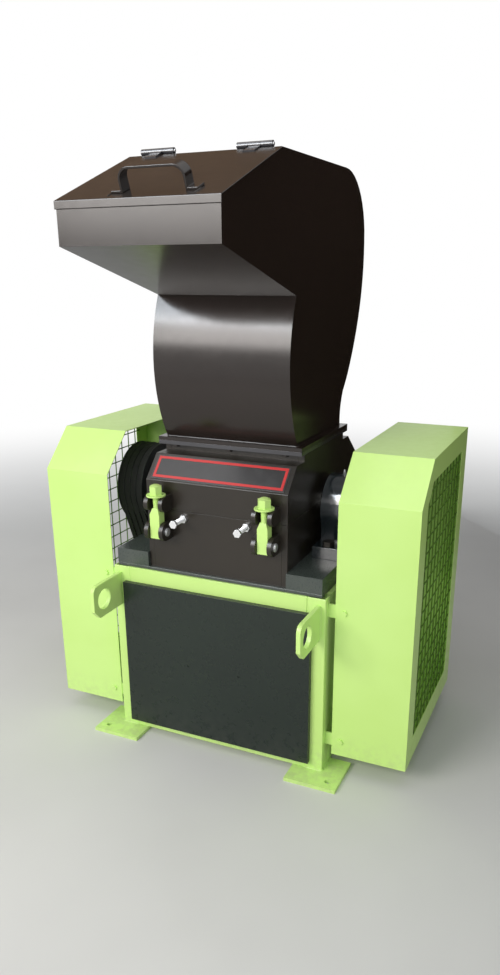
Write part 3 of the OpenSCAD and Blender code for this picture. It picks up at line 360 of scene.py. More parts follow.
class TurnedMetal(Skin):
    """Fine turning lines round an axis along X, with a thin stain of oil."""

    title = "turned_metal"
    inputs = {"Colour": (0.5, 0.5, 0.5, 1.0), "Stain": (0.2, 0.15, 0.1, 1.0),
              "Stain share": 0.3, "Gloss": 0.3, "Lines": 0.2, "Axis": (0.0, 0.0, 0.0)}
    stain_rough = 0.3
    line_depth = 0.0003

    @classmethod
    def wire(cls, graph: Graph, got: bpy.types.NodeOutputs) -> tuple[bpy.types.NodeSocket, ...]:
        """Adds the metal's nodes.

        Args:
            graph: The group's graph.
            got: The sockets that bring in the group's values.

        Returns:
            The sockets of the colour, the roughness and the normal.
        """
        place = graph.place()
        about = graph.node("ShaderNodeVectorMath", {0: place, 1: got["Axis"]},
                           operation="SUBTRACT").outputs[0]
        parts = graph.node("ShaderNodeSeparateXYZ", {0: about}).outputs
        flat = graph.node("ShaderNodeCombineXYZ", {1: parts["Y"], 2: parts["Z"]}).outputs[0]
        radius = graph.node("ShaderNodeVectorMath", {0: flat}, operation="LENGTH").outputs["Value"]
        ring = graph.node("ShaderNodeCombineXYZ", {0: parts["X"], 1: radius}).outputs[0]
        lines = graph.noise(ring, scale=620.0, detail=2.0, rough=0.7)
        stain = graph.ramp(graph.noise(place, scale=14.0, detail=4.0, rough=0.65),
                           low=0.48, high=0.78)
        share = graph.maths("MULTIPLY", stain, got["Stain share"])
        rough = graph.maths("ADD", got["Gloss"],
                            graph.ramp(lines, low=0.3, high=0.7, to_low=-0.06, to_high=0.08))
        rough = graph.maths("ADD", rough, graph.maths("MULTIPLY", share, cls.stain_rough))
        return (graph.mix(share, got["Colour"], got["Stain"]), rough,
                graph.bump(got["Lines"], cls.line_depth, lines))


class GrainedSkin(Skin):
    """A grainy skin such as cast iron under paint, or rubber with chalk dust."""

    title = "grained_skin"
    inputs = {"Colour": (0.1, 0.1, 0.1, 1.0), "Rub": (0.3, 0.3, 0.3, 1.0), "Rub share": 0.2,
              "Gloss": 0.5, "Grain": 0.3, "Grain scale": 260.0}
    grain_depth = 0.0008

    @classmethod
    def wire(cls, graph: Graph, got: bpy.types.NodeOutputs) -> tuple[bpy.types.NodeSocket, ...]:
        """Adds the skin's nodes.

        Args:
            graph: The group's graph.
            got: The sockets that bring in the group's values.

        Returns:
            The sockets of the colour, the roughness and the normal.
        """
        place = graph.place()
        grain = graph.noise(place, got["Grain scale"], detail=3.0, rough=0.62)
        patch = graph.ramp(graph.noise(place, scale=11.0, detail=4.0, rough=0.6),
                           low=0.42, high=0.8)
        share = graph.maths("MULTIPLY", patch, got["Rub share"])
        rough = graph.maths("ADD", got["Gloss"],
                            graph.ramp(grain, low=0.3, high=0.7, to_low=-0.07, to_high=0.1))
        return (graph.mix(share, got["Colour"], got["Rub"]), rough,
                graph.bump(got["Grain"], cls.grain_depth, grain))


@dataclass(frozen=True)
class Finish:
    """What every finish has: a name, its record slot and its plain shader numbers."""

    name: str
    slot: Slot
    colour: Colour
    gloss: float
    metallic: float = 0.0
    coat: float = 0.0
    coat_gloss: float = 0.1
    specular: float = 0.5

    def skin(self) -> tuple[type[Skin], dict[str, object]]:
        """The skin that the finish uses.

        Returns:
            The skin's class, and the values that it takes besides colour and gloss.
        """
        raise NotImplementedError

    def material(self) -> bpy.types.Material:
        """The finish as a material, made the first time that it is asked for.

        Returns:
            The material.
        """
        known = bpy.data.materials.get(self.name)
        if known is not None:
            return known
        made = bpy.data.materials.new(self.name)
        graph = Graph.emptied(made)
        skin, values = self.skin()
        worn = graph.node("ShaderNodeGroup", {
            "Colour": self.colour, "Gloss": self.gloss, **values}, node_tree=skin.group())
        shader = graph.node("ShaderNodeBsdfPrincipled", {
            "Base Color": worn.outputs["Colour"], "Roughness": worn.outputs["Roughness"],
            "Normal": worn.outputs["Normal"], "Metallic": self.metallic,
            "Coat Weight": self.coat, "Coat Roughness": self.coat_gloss,
            "Specular IOR Level": self.specular})
        graph.node("ShaderNodeOutputMaterial", {"Surface": shader.outputs[0]})
        made.diffuse_color = self.colour
        return made


@dataclass(frozen=True)
class Paint(Finish):
    """Sprayed enamel."""

    shade: Colour = (0.2, 0.2, 0.2, 1.0)
    dust: float = 0.1
    grime: float = 0.25
    peel: float = 0.12
    runs: float = 0.15

    def skin(self) -> tuple[type[Skin], dict[str, object]]:
        """The paint group with this enamel's values."""
        return SprayedPaint, {"Shade": self.shade, "Dust": self.dust, "Grime": self.grime,
                              "Peel": self.peel, "Runs": self.runs}


@dataclass(frozen=True)
class Turned(Finish):
    """Machined or plated metal with turning lines round the rotor's axis."""

    stain: Colour = (0.1, 0.08, 0.06, 1.0)
    stained: float = 0.25
    lines: float = 0.25
    axis: Triple = (0.0, 0.0, AXIS_Z * MM)

    def skin(self) -> tuple[type[Skin], dict[str, object]]:
        """The turned metal group with this metal's values."""
        return TurnedMetal, {"Stain": self.stain, "Stain share": self.stained,
                             "Lines": self.lines, "Axis": self.axis}


@dataclass(frozen=True)
class Grained(Finish):
    """Painted castings and rubber."""

    rub: Colour = (0.2, 0.2, 0.2, 1.0)
    rubbed: float = 0.2
    grain: float = 0.3
    grain_scale: float = 260.0

    def skin(self) -> tuple[type[Skin], dict[str, object]]:
        """The grained group with this skin's values."""
        return GrainedSkin, {"Rub": self.rub, "Rub share": self.rubbed, "Grain": self.grain,
                             "Grain scale": self.grain_scale}


LIME = Paint("lime_enamel", Slot.LIME, linear(207, 243, 144), 0.4, coat=0.1,
             shade=linear(201, 238, 134), dust=0.05, peel=0.10, runs=0.05, specular=0.35)
# Painted shade: the wire mesh takes a darker copy of the lime paint, for the shade that it sits in
# inside the guards.
SHADED_LIME_WIRE = Paint("lime_wire_painted_shade", Slot.LIME, linear(96, 138, 40), 0.5,
                  shade=linear(82, 120, 32), dust=0.15, specular=0.3)
BLACK = Paint("black_enamel", Slot.BLACK, linear(38, 30, 26), 0.21,
              shade=linear(34, 27, 23), dust=0.006, grime=0.0, peel=0.015, runs=0.06,
              specular=0.5)
# A lighter grey copy of the black paint for the throat flange and the lid hinge: painted
# reflection, standing in for the sky mirrored along their shiny edges.
PAINTED_REFLECTION_BLACK = Paint("black_enamel_painted_reflection", Slot.BLACK, linear(66, 66, 70), 0.24, coat=0.5, coat_gloss=0.12,
               shade=linear(48, 47, 50), dust=0.01, grime=0.0, peel=0.05, runs=0.1)
BLACK_CHAMBER = Paint("black_chamber_enamel", Slot.BLACK, linear(46, 41, 34), 0.3,
                      shade=linear(38, 34, 29), dust=0.02, grime=0.0, peel=0.08, runs=0.12,
                      specular=0.45)
GREEN = Paint("dark_green_enamel", Slot.GREEN, linear(34, 44, 38), 0.28,
              shade=linear(31, 40, 35), dust=0.02, grime=0.05, peel=0.08, runs=0.2,
              specular=0.4)
BED = Grained("bed_enamel", Slot.CAST, linear(62, 70, 66), 0.3, coat=0.35, coat_gloss=0.16,
              rub=linear(96, 102, 94), rubbed=0.3, grain=0.12)
HOUSING = Grained("bearing_enamel", Slot.CAST, linear(34, 42, 46), 0.16, coat=1.0, coat_gloss=0.08,
                  rub=linear(44, 54, 56), rubbed=0.4, grain=0.06, grain_scale=180.0, specular=0.9)
CASTING = Grained("casting_enamel", Slot.CAST, linear(38, 42, 40), 0.42, coat=0.1,
                  rub=linear(84, 84, 78), rubbed=0.22, grain=0.4)
MOTOR = Grained("motor_enamel", Slot.MOTOR, linear(52, 84, 112), 0.4, coat=0.2,
                rub=linear(92, 112, 126), rubbed=0.2, grain=0.25)
RUBBER = Grained("belt_rubber", Slot.RUBBER, linear(30, 30, 30), 0.68,
                 rub=linear(78, 76, 72), rubbed=0.35, grain=0.35, grain_scale=600.0)
STEEL = Turned("machined_steel", Slot.STEEL, linear(168, 168, 164), 0.32, metallic=1.0)
BLADE = Turned("ground_knife_steel", Slot.STEEL, linear(184, 186, 188), 0.22, metallic=1.0,
               lines=0.15, stained=0.1)
DARK_STEEL = Turned("dark_bolt_steel", Slot.STEEL, linear(64, 62, 58), 0.42, metallic=0.9,
                    stained=0.3)
ZINC = Turned("zinc_plate", Slot.ZINC, linear(196, 200, 204), 0.24, metallic=1.0,
              stain=linear(130, 134, 140), stained=0.4, lines=0.1)
RED = Paint("red_border_paint", Slot.BLACK, linear(206, 30, 26), 0.4,
            shade=linear(190, 24, 22), dust=0.02, grime=0.0, peel=0.05)
PLATE = Paint("sign_face_enamel", Slot.BLACK, linear(52, 50, 50), 0.3, coat=0.2,
              shade=linear(46, 44, 44), dust=0.03, grime=0.0, peel=0.08)


class Tidy:
    """Joins a CAD node's loose triangles and rounds its edges, by modifiers alone."""

    title = "join_and_smooth"
    weld = 0.02
    sharp = math.radians(30)
    flat = math.radians(0.6)
    edge = math.radians(32)
    segments = 2

    @classmethod
    def group(cls) -> bpy.types.NodeTree:
        """The node group that joins triangles and smooths all but the sharp edges.

        Returns:
            The geometry node group.
        """
        known = bpy.data.node_groups.get(cls.title)
        if known is not None:
            return known
        tree = bpy.data.node_groups.new(cls.title, "GeometryNodeTree")
        tree.is_modifier = True
        for side in ("INPUT", "OUTPUT"):
            tree.interface.new_socket("Geometry", in_out=side, socket_type="NodeSocketGeometry")
        graph = Graph(tree)
        joined = graph.node("GeometryNodeMergeByDistance", {
            "Geometry": graph.node("NodeGroupInput").outputs[0], "Distance": cls.weld * MM})
        smooth = graph.node("GeometryNodeSetShadeSmooth", {
            "Geometry": joined.outputs[0], "Shade Smooth": True})
        angle = graph.node("GeometryNodeInputMeshEdgeAngle").outputs["Unsigned Angle"]
        sharp = graph.node("FunctionNodeCompare", {0: angle, 1: cls.sharp},
                           data_type="FLOAT", operation="GREATER_THAN")
        edged = graph.node("GeometryNodeSetShadeSmooth", {
            "Geometry": smooth.outputs[0], "Selection": sharp.outputs[0],
            "Shade Smooth": False}, domain="EDGE")
        graph.node("NodeGroupOutput", {0: edged.outputs[0]})
        return tree

    @classmethod
    def node(cls, name: str, finish: Finish, width: float) -> None:
        """Dresses one CAD node.

        Args:
            name: The node's name.
            finish: Its finish.
            width: The width of its rounded edges, or 0 for none.
        """
        thing = frame["nodes"][name]
        material = finish.material()
        if thing.material_slots:
            for held in thing.material_slots:
                held.material = material
        else:
            thing.data.materials.append(material)
        thing.modifiers.new("join", "NODES").node_group = cls.group()
        if width:
            flat = thing.modifiers.new("flat", "DECIMATE")
            flat.decimate_type = "DISSOLVE"
            flat.angle_limit = cls.flat
            bevel = thing.modifiers.new("round", "BEVEL")
            bevel.width = width * MM
            bevel.segments = cls.segments
            bevel.limit_method = "ANGLE"
            bevel.angle_limit = cls.edge
            bevel.harden_normals = True
            bevel.use_clamp_overlap = True


class Shape:
    """A mesh being built from bmesh operators, at its own place."""

    def __init__(self) -> None:
        """Starts an empty shape."""
        self.bm = bmesh.new()

    @staticmethod
    def stand(centre: Sequence[float], axis: Sequence[float]) -> Matrix:
        """A matrix that puts +Z along an axis at a point.

        Args:
            centre: Where the shape's origin goes.
            axis: The direction that its +Z takes.

        Returns:
            The matrix.
        """
        turn = Vector((0, 0, 1)).rotation_difference(Vector(axis)).to_matrix().to_4x4()
        return Matrix.Translation(Vector(centre)) @ turn

    def rod(self, start: Sequence[float], axis: Sequence[float], length: float, radius: float,
            sides: int, top: Optional[float] = None) -> None:
        """Adds a rod, cone or prism.

        Args:
            start: The middle of its first end.
            axis: The direction that it runs in.
            length: Its length.
            radius: Its radius at the start.
            sides: How many sides it has.
            top: Its radius at the far end, where that differs.
        """
        bmesh.ops.create_cone(
            self.bm, cap_ends=True, segments=sides, radius1=radius,
            radius2=radius if top is None else top, depth=length,
            matrix=self.stand(start, axis) @ Matrix.Translation((0, 0, length / 2)))

    def turned(self, start: Sequence[float], axis: Sequence[float], profile: Profile,
               steps: int) -> None:
        """Adds a piece turned from a profile, as on a lathe.

        Args:
            start: The point on the axis that the profile's heights start from.
            axis: The direction of the axis.
            profile: Radius and height of each point, from one end to the other.
            steps: How many faces go round it.
        """
        place = self.stand(start, axis)
        points = [self.bm.verts.new(place @ Vector((r, 0, z))) for r, z in profile]
        edges = [self.bm.edges.new(pair) for pair in zip(points, points[1:])]
        bmesh.ops.spin(self.bm, geom=points + edges, cent=place.to_translation(),
                       axis=place.to_3x3() @ Vector((0, 0, 1)), angle=math.tau,
                       steps=steps, use_merge=True)
        self.clean()

    def bead(self, start: Sequence[float], end: Sequence[float], radius: float,
             pitch: float) -> None:
        """Adds a weld bead of overlapping ripples between two points.

        Args:
            start: Where it starts.
            end: Where it ends.
            radius: Its radius at a ripple.
            pitch: The length of a ripple.
        """
        sides, dip_share, end_share = 8, 0.78, 0.5
        first, last = Vector(start), Vector(end)
        length = (last - first).length
        place = self.stand(first, (last - first).normalized())
        earlier = len(self.bm.verts)
        made = bmesh.ops.create_cone(self.bm, cap_ends=True, segments=sides, radius1=radius,
                                     radius2=radius, depth=length,
                                     matrix=Matrix.Translation((0, 0, length / 2)))
        along = [e for v in made["verts"] for e in v.link_edges
                 if abs(e.verts[0].co.z - e.verts[1].co.z) > length / 2]
        count = max(2, round(length / pitch) * 2)
        bmesh.ops.subdivide_edges(self.bm, edges=list(dict.fromkeys(along)), cuts=count - 1)
        rings = list(self.bm.verts)[earlier:]
        for vert in rings:
            step = round(vert.co.z / length * count)
            share = dip_share if step % 2 else 1.0
            if step in (0, count):
                share = end_share
            vert.co.x *= share
            vert.co.y *= share
        bmesh.ops.transform(self.bm, matrix=place, verts=rings)

    def bolt_head(self, base: Sequence[float], axis: Sequence[float], across: float,
                  height: float) -> None:
        """Adds a hexagon head with its crowned top.

        Args:
            base: The middle of the face that it sits on.
            axis: The direction that it points in.
            across: Its size across flats.
            height: Its height.
        """
        flank_share, crown_share = 0.82, 0.92
        corner = across / 2 / math.cos(math.pi / 6)
        flank = height * flank_share
        self.rod(base, axis, flank, corner, sides=6)
        self.rod(Vector(base) + Vector(axis) * flank, axis, height - flank, corner, sides=6,
                 top=across / 2 * crown_share)

    def thread(self, start: Sequence[float], end: Sequence[float], root: float, ridge: float,
               pitch: float, steps: int) -> None:
        """Adds a screw thread that winds round a line.

        Args:
            start: Where the thread starts.
            end: Where it ends.
            root: The shank's radius.
            ridge: How far the thread stands out of the shank.
            pitch: The thread's pitch.
            steps: How many faces go round one turn.
        """
        sunk, rise, top_share = 0.4, 0.1, 0.9
        first, last = Vector(start), Vector(end)
        length = (last - first).length
        turn = self.stand(first, (last - first).normalized()).to_3x3()
        across, along = turn @ Vector((1, 0, 0)), turn @ Vector((0, 0, 1))
        rows = ((-sunk, rise), (ridge, pitch / 2), (-sunk, pitch * top_share))
        points = [self.bm.verts.new(first + across * (root + out) + along * up)
                  for out, up in rows]
        edges = [self.bm.edges.new(pair) for pair in zip(points, points[1:])]
        turns = (length - pitch) / pitch
        count = round(turns * steps)
        bmesh.ops.spin(self.bm, geom=points + edges, cent=first, axis=along,
                       dvec=along * (length - pitch) / count, angle=math.tau * turns,
                       steps=count, use_merge=False)

    def clean(self) -> None:
        """Merges doubles and turns the faces outwards."""
        bmesh.ops.remove_doubles(self.bm, verts=self.bm.verts, dist=0.0005)
        bmesh.ops.recalc_face_normals(self.bm, faces=self.bm.faces)

    def thing(self, name: str, material: bpy.types.Material) -> bpy.types.Object:
        """Makes the shape an object, which ends the work on its bmesh.

        Args:
            name: The object's name.
            material: What it is made of.

        Returns:
            The new object.
        """
        mesh = bpy.data.meshes.new(name)
        self.bm.to_mesh(mesh)
        self.bm.free()
        mesh.materials.append(material)
        made = bpy.data.objects.new(name, mesh)
        bpy.context.scene.collection.objects.link(made)
        return made

    def piece(self, name: str, body: Body, finish: Finish, smooth: float = 35.0,
              replaces: Sequence[str] = ()) -> None:
        """Makes the shape a piece of the machine.

        Args:
            name: The piece's name.
            body: The body that it rides on.
            finish: Its finish.
            smooth: Degrees above which an edge stays sharp.
            replaces: The CAD nodes that it stands for.
        """
        bmesh.ops.transform(self.bm, matrix=Matrix.Scale(MM, 4), verts=self.bm.verts)
        for face in self.bm.faces:
            face.smooth = True
        for edge in self.bm.edges:
            edge.smooth = not (len(edge.link_faces) == 2
                               and edge.calc_face_angle(0) > math.radians(smooth))
        made = self.thing(name, finish.material())
        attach(made, body.value)
        if replaces:
            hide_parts(*replaces)
        log.info("%s: %d faces on %s", name, len(made.data.polygons), body.value)


def box_of(name: str) -> tuple[Vector, Vector]:
    """The lowest and the highest corner of a CAD node, in millimetres."""
    low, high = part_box(name)
    return low / MM, high / MM


def seat(name: str, start: Sequence[float]) -> Optional[Vector]:
    """The first point of a CAD node below a place.

    Args:
        name: The node's name.
        start: The place to look down from.

    Returns:
        The point, or None where there is nothing below.
    """
    mesh = frame["nodes"][name].data
    tree = BVHTree.FromPolygons([v.co for v in mesh.vertices], [p.vertices for p in mesh.polygons])
    hit = tree.ray_cast(Vector(start) * MM, Vector((0, 0, -1)))[0]
    return None if hit is None else hit / MM


@dataclass
class CadDress:
    """The finish and edge rounding of every CAD node that stays in view."""

    rounding: float = 0.7
    rounds: dict[str, float] = field(default_factory=lambda: {
        "guard_left": 1.2, "guard_right": 1.2, "hopper_shell": 1.0, "lid_panel": 1.4,
        "frame_legs": 2.5, "frame_rails": 1.2, "bearing_housings": 2.5, "bed_plate": 1.5,
        "bearing_pedestals": 1.5, "foot_plates": 1.2, "lifting_lugs": 1.5, "bin_front": 1.0,
        "lid_handle": 1.3, "guard_meshes": 0.0, "screen": 0.0, "drive_belts": 1.0})
    worn: dict[Finish, tuple[str, ...]] = field(default_factory=lambda: {
        LIME: ("foot_plates", "frame_legs", "frame_rails", "lifting_lugs", "guard_tabs",
               "bin_runners", "motor_base", "guard_left", "guard_right", "guard_screws",
               "swing_bolt_left", "swing_bolt_right", "clamp_nut_left", "clamp_nut_right",
               "side_panels"),
        # Painted shade: the wires take the darker copy of the lime paint.
        SHADED_LIME_WIRE: ("guard_meshes",),
        BLACK: ("hopper_shell", "lid_panel", "flange_bolts", "lid_handle"),
        # Painted reflection: the flange and the hinge leaves and knuckles take the lighter grey
        # copy of the black paint.
        PAINTED_REFLECTION_BLACK: ("throat_flange", "lid_hinge_leaves", "lid_hinge_knuckles"),
        BLACK_CHAMBER: ("lower_side_plates", "lower_walls", "bed_knife_seats", "screen_rails",
                        "lower_clamp_ears", "rear_hinge_lower", "upper_side_plates",
                        "upper_walls", "upper_clamp_ears", "rear_hinge_upper"),
        PLATE: ("sign_plate",),
        BED: ("bed_plate", "bearing_pedestals"),
        HOUSING: ("bearing_housings",),
        GREEN: ("collection_bin", "bin_front"),
        CASTING: ("rotor_body", "driven_pulley", "flywheel", "motor_pulley"),
        MOTOR: ("motor_body", "motor_fan_cover", "motor_terminal_box"),
        RUBBER: ("drive_belts",),
        BLADE: ("bed_knives", "rotor_knives"),
        DARK_STEEL: ("hold_down_bolts", "rotor_knife_bolts"),
        ZINC: ("bed_knife_bolts", "pivot_pins", "lid_hinge_pins"),
        STEEL: ("screen", "discharge_chute", "bearing_outer_rings", "bearing_inner_rings",
                "rotor_shaft", "motor_shaft")})

    def build(self) -> None:
        """Dresses every node in the finish that names it."""
        chosen = {name: finish for finish, names in self.worn.items() for name in names}
        for name in frame["nodes"]:
            Tidy.node(name, chosen[name], self.rounds.get(name, self.rounding))
        log.info("dressed %d CAD nodes", len(chosen))


@dataclass
class Sign:
    """The plain red border on the slanted plate."""

    band: float = 7.0
    inset: float = 4.5
    thick: float = 0.5
    parallel: float = 0.999
    level: float = 0.2

    def build(self) -> None:
        """Builds the border on the plate's own face."""
        mesh = frame["nodes"]["sign_plate"].data
        face = max(mesh.polygons, key=lambda p: (round(p.normal.z - p.normal.y, 4), p.area))
        normal = face.normal.copy()
        flat = [mesh.vertices[i].co / MM for p in mesh.polygons
                if p.normal.dot(normal) > self.parallel for i in p.vertices]
        top = max(p.dot(normal) for p in flat)
        flat = [p for p in flat if p.dot(normal) > top - self.level]
        up = Vector((0, abs(normal.z), abs(normal.y)))
        half = max(abs(p.x) for p in flat)
        low, high = min(p.dot(up) for p in flat), max(p.dot(up) for p in flat)
        centre = normal * top + up * (low + high) / 2
        turn = Matrix((Vector((1, 0, 0)), up, normal)).transposed().to_4x4()
        shape = Shape()
        made = bmesh.ops.create_grid(shape.bm, x_segments=1, y_segments=1, size=1.0)
        sides = Matrix.Diagonal((half - self.inset, (high - low) / 2 - self.inset, 1, 1))
        bmesh.ops.transform(shape.bm, matrix=sides, verts=made["verts"])
        ring = bmesh.ops.inset_region(shape.bm, faces=shape.bm.faces[:], thickness=self.band,
                                      use_boundary=True, use_even_offset=True)
        inner = [f for f in shape.bm.faces if f not in ring["faces"]]
        bmesh.ops.delete(shape.bm, geom=inner, context="FACES_ONLY")
        raised = bmesh.ops.extrude_face_region(shape.bm, geom=shape.bm.faces[:])
        bmesh.ops.translate(shape.bm, vec=(0, 0, self.thick), verts=[
            g for g in raised["geom"] if isinstance(g, bmesh.types.BMVert)])
        bmesh.ops.recalc_face_normals(shape.bm, faces=shape.bm.faces)
        bmesh.ops.transform(shape.bm, matrix=Matrix.Translation(centre) @ turn,
                            verts=shape.bm.verts)
        shape.piece("sign_border", Body.UPPER, RED)


@dataclass
class FrameWelds:
    """Weld beads of the box frame: legs on foot plates, and lifting lugs on legs."""

    tube: float = 50.0
    lug_t: float = 12.0
    lug_margin: float = 3.0
    bead: float = 3.0
    ripple: float = 5.0

    def corner(self, shape: Shape, sx: int, sy: int) -> None:
        """Adds the beads of one leg.

        Args:
            shape: The shape that takes them.
            sx: The leg's side along X, 1 or -1.
            sy: Its side along Y, 1 or -1.
        """
        leg, foot = box_of("frame_legs")[1], box_of("foot_plates")[1].z
        lug_low, lug_high = box_of("lifting_lugs")
        xs = [sx * (leg.x - self.tube), sx * leg.x]
        ys = [sy * (leg.y - self.tube), sy * leg.y]
        for x in xs:
            shape.bead((x, ys[0], foot), (x, ys[1], foot), self.bead, self.ripple)
        for y in ys:
            shape.bead((xs[0], y, foot), (xs[1], y, foot), self.bead, self.ripple)
        for x in (sx * (lug_high.x - self.lug_t), sx * lug_high.x):
            shape.bead((x, ys[1], lug_low.z + self.lug_margin),
                       (x, ys[1], lug_high.z - self.lug_margin), self.bead, self.ripple)

    def build(self) -> None:
        """Builds every bead as one piece."""
        shape = Shape()
        for sx in (-1, 1):
            for sy in (-1, 1):
                self.corner(shape, sx, sy)
        shape.piece("frame_weld_beads", Body.BASE, LIME, BEAD_ANGLE)


@dataclass
class ClampBolts:
    """Threads of the two swing bolts."""

    root: float = 8.0
    ridge: float = 0.7
    pitch: float = 2.0
    steps: int = 16
    foot: float = 698.0
    bare_end: float = 3.0

    def build(self) -> None:
        """Builds each bolt's thread as a piece that turns with the bolt."""
        for side, body in (("left", Body.BOLT_LEFT), ("right", Body.BOLT_RIGHT)):
            low, high = box_of(f"swing_bolt_{side}")
            x, y = (low.x + high.x) / 2, (low.y + high.y) / 2
            shape = Shape()
            shape.thread((x, y, self.foot), (x, y, high.z - self.bare_end), self.root,
                         self.ridge, self.pitch, self.steps)
            shape.clean()
            shape.piece(f"swing_bolt_thread_{side}", body, LIME, BEAD_ANGLE)


@dataclass
class AdjustingBolts:
    """Threads of the bolts that push the bed knives forward."""

    x: float = 90.0
    z: float = 659.5
    y: tuple[float, float] = (278.5, 318.5)
    root: float = 6.0
    ridge: float = 0.55
    pitch: float = 1.75
    steps: int = 14

    def build(self) -> None:
        """Builds the four threads as one piece."""
        shape = Shape()
        for side in (-1, 1):
            for front in (-1, 1):
                start, end = ((side * self.x, front * y, self.z) for y in self.y)
                shape.thread(start, end, self.root, self.ridge, self.pitch, self.steps)
        shape.clean()
        shape.piece("adjusting_bolt_threads", Body.BASE, ZINC, BEAD_ANGLE)


@dataclass
class BearingFittings:
    """Grease nipples, shaft seals and cover screws of the two bearings."""

    width: float = 74.0
    radius: float = 85.0
    sunk: float = 1.0
    # The corner radius and the height of the nipple's hexagon.
    nipple_hex: tuple[float, float] = (4.8, 5.0)
    nipple: Profile = ((0, 4), (2.8, 4), (2.8, 9), (1.8, 10), (2.6, 12), (2, 13.5), (0, 14))
    screws: int = 6
    screw_ring: float = 75.0
    screw: Profile = ((0, 0), (5.5, 0), (5.5, 3), (4.4, 4), (2.75, 4), (2.475, 1.6), (0, 1.2))
    seal: Profile = ((30.6, 0.1), (37, 0.1), (37, 1.6), (35, 4), (31.6, 4), (30.6, 2.8),
                     (30.6, 0.1))

    def nipple_on(self, shape: Shape, x: float) -> None:
        """Adds a grease nipple on top of one housing.

        Args:
            shape: The shape that takes it.
            x: Where the nipple stands.
        """
        foot = (x, 0, AXIS_Z + self.radius - self.sunk)
        radius, height = self.nipple_hex
        shape.rod(foot, Axis.Z.value, height, radius, sides=6)
        shape.turned(foot, Axis.Z.value, self.nipple, steps=20)

    def cover_on(self, screws: Shape, seals: Shape, x: float, way: Axis) -> None:
        """Adds the screws and the shaft seal of one cover face.

        Args:
            screws: The shape that takes the screws.
            seals: The shape that takes the seal.
            x: Where the face is.
            way: The direction that it faces.
        """
        for i in range(self.screws):
            turn = math.tau * (i + 0.5) / self.screws
            foot = (x, self.screw_ring * math.cos(turn), AXIS_Z + self.screw_ring * math.sin(turn))
            screws.turned(foot, way.value, self.screw, steps=16)
        seals.turned((x, 0, AXIS_Z), way.value, self.seal, steps=64)

    def build(self) -> None:
        """Builds the nipples, the cover screws and the seals of both housings."""
        nipples, screws, seals = Shape(), Shape(), Shape()
        outer = box_of("bearing_housings")[1].x
        inner = outer - self.width
        for side in (-1, 1):
            self.nipple_on(nipples, side * (inner + outer) / 2)
            for face, out in ((inner, -side), (outer, side)):
                way = Axis.X if out > 0 else Axis.BACK_X
                self.cover_on(screws, seals, side * face, way)
        nipples.piece("grease_nipples", Body.BASE, ZINC)
        screws.piece("bearing_cover_screws", Body.BASE, DARK_STEEL)
        seals.piece("shaft_seals", Body.BASE, RUBBER)


@dataclass
class HopperFittings:
    """Hinge screws, and the weld beads of the handle and of the hopper's foot."""

    ray_z: float = 1700.0
    hinge_x: float = 120.0
    screw_out: tuple[float, float] = (-35.0, 35.0)
    screw_y: float = -248.0
    screw_sunk: float = 0.6
    screw: Profile = ((0, 0), (2.16, 0), (3.6, 0.9), (3.6, 1.1), (1.512, 1.3), (1.44, 0.7),
                      (0, 0.7))
    handle_gap: float = 0.4
    handle_foot: tuple[float, float] = (3.0, 28.0)
    # The radius and the ripple length of a bead.
    handle_bead: tuple[float, float] = (1.8, 3.5)
    neck_x: float = 186.0
    neck_y: tuple[float, float] = (-170.0, 150.0)
    neck_out: float = 2.0
    flange_t: float = 10.0
    neck_bead: tuple[float, float] = (2.4, 4.5)

    def hinge_screws(self) -> None:
        """Builds a countersunk screw in each hinge leaf on the roof."""
        shape = Shape()
        for side in (-1, 1):
            for out in self.screw_out:
                x = side * self.hinge_x + out
                spot = seat("lid_hinge_leaves", (x, self.screw_y, self.ray_z))
                if spot is not None:
                    spot.z -= self.screw_sunk
                    shape.turned(spot, Axis.Z.value, self.screw, steps=24)
        shape.piece("lid_hinge_screws", Body.UPPER, ZINC)

    def handle_welds(self) -> None:
        """Builds the beads that hold the handle's feet on the lid."""
        shape = Shape()
        low, high = box_of("lid_handle")
        for x in (low.x - self.handle_gap, high.x + self.handle_gap):
            ends = [seat("lid_panel", (x, low.y + y, self.ray_z)) for y in self.handle_foot]
            if None not in ends:
                shape.bead(*ends, *self.handle_bead)
        shape.piece("handle_weld_beads", Body.LID, BLACK, BEAD_ANGLE)

    def foot_welds(self) -> None:
        """Builds the beads between the hopper's neck and the flange that carries it."""
        shape = Shape()
        z = box_of("hopper_shell")[0].z + self.flange_t
        front, back = self.neck_y
        for x in (-self.neck_x, self.neck_x):
            shape.bead((x, front, z), (x, back, z), *self.neck_bead)
        lip = front - self.neck_out
        shape.bead((-self.neck_x, lip, z), (self.neck_x, lip, z), *self.neck_bead)
        shape.piece("hopper_foot_weld_beads", Body.UPPER, BLACK, BEAD_ANGLE)

    def build(self) -> None:
        """Builds the hopper's screws and beads."""
        self.hinge_screws()
        self.handle_welds()
        self.foot_welds()


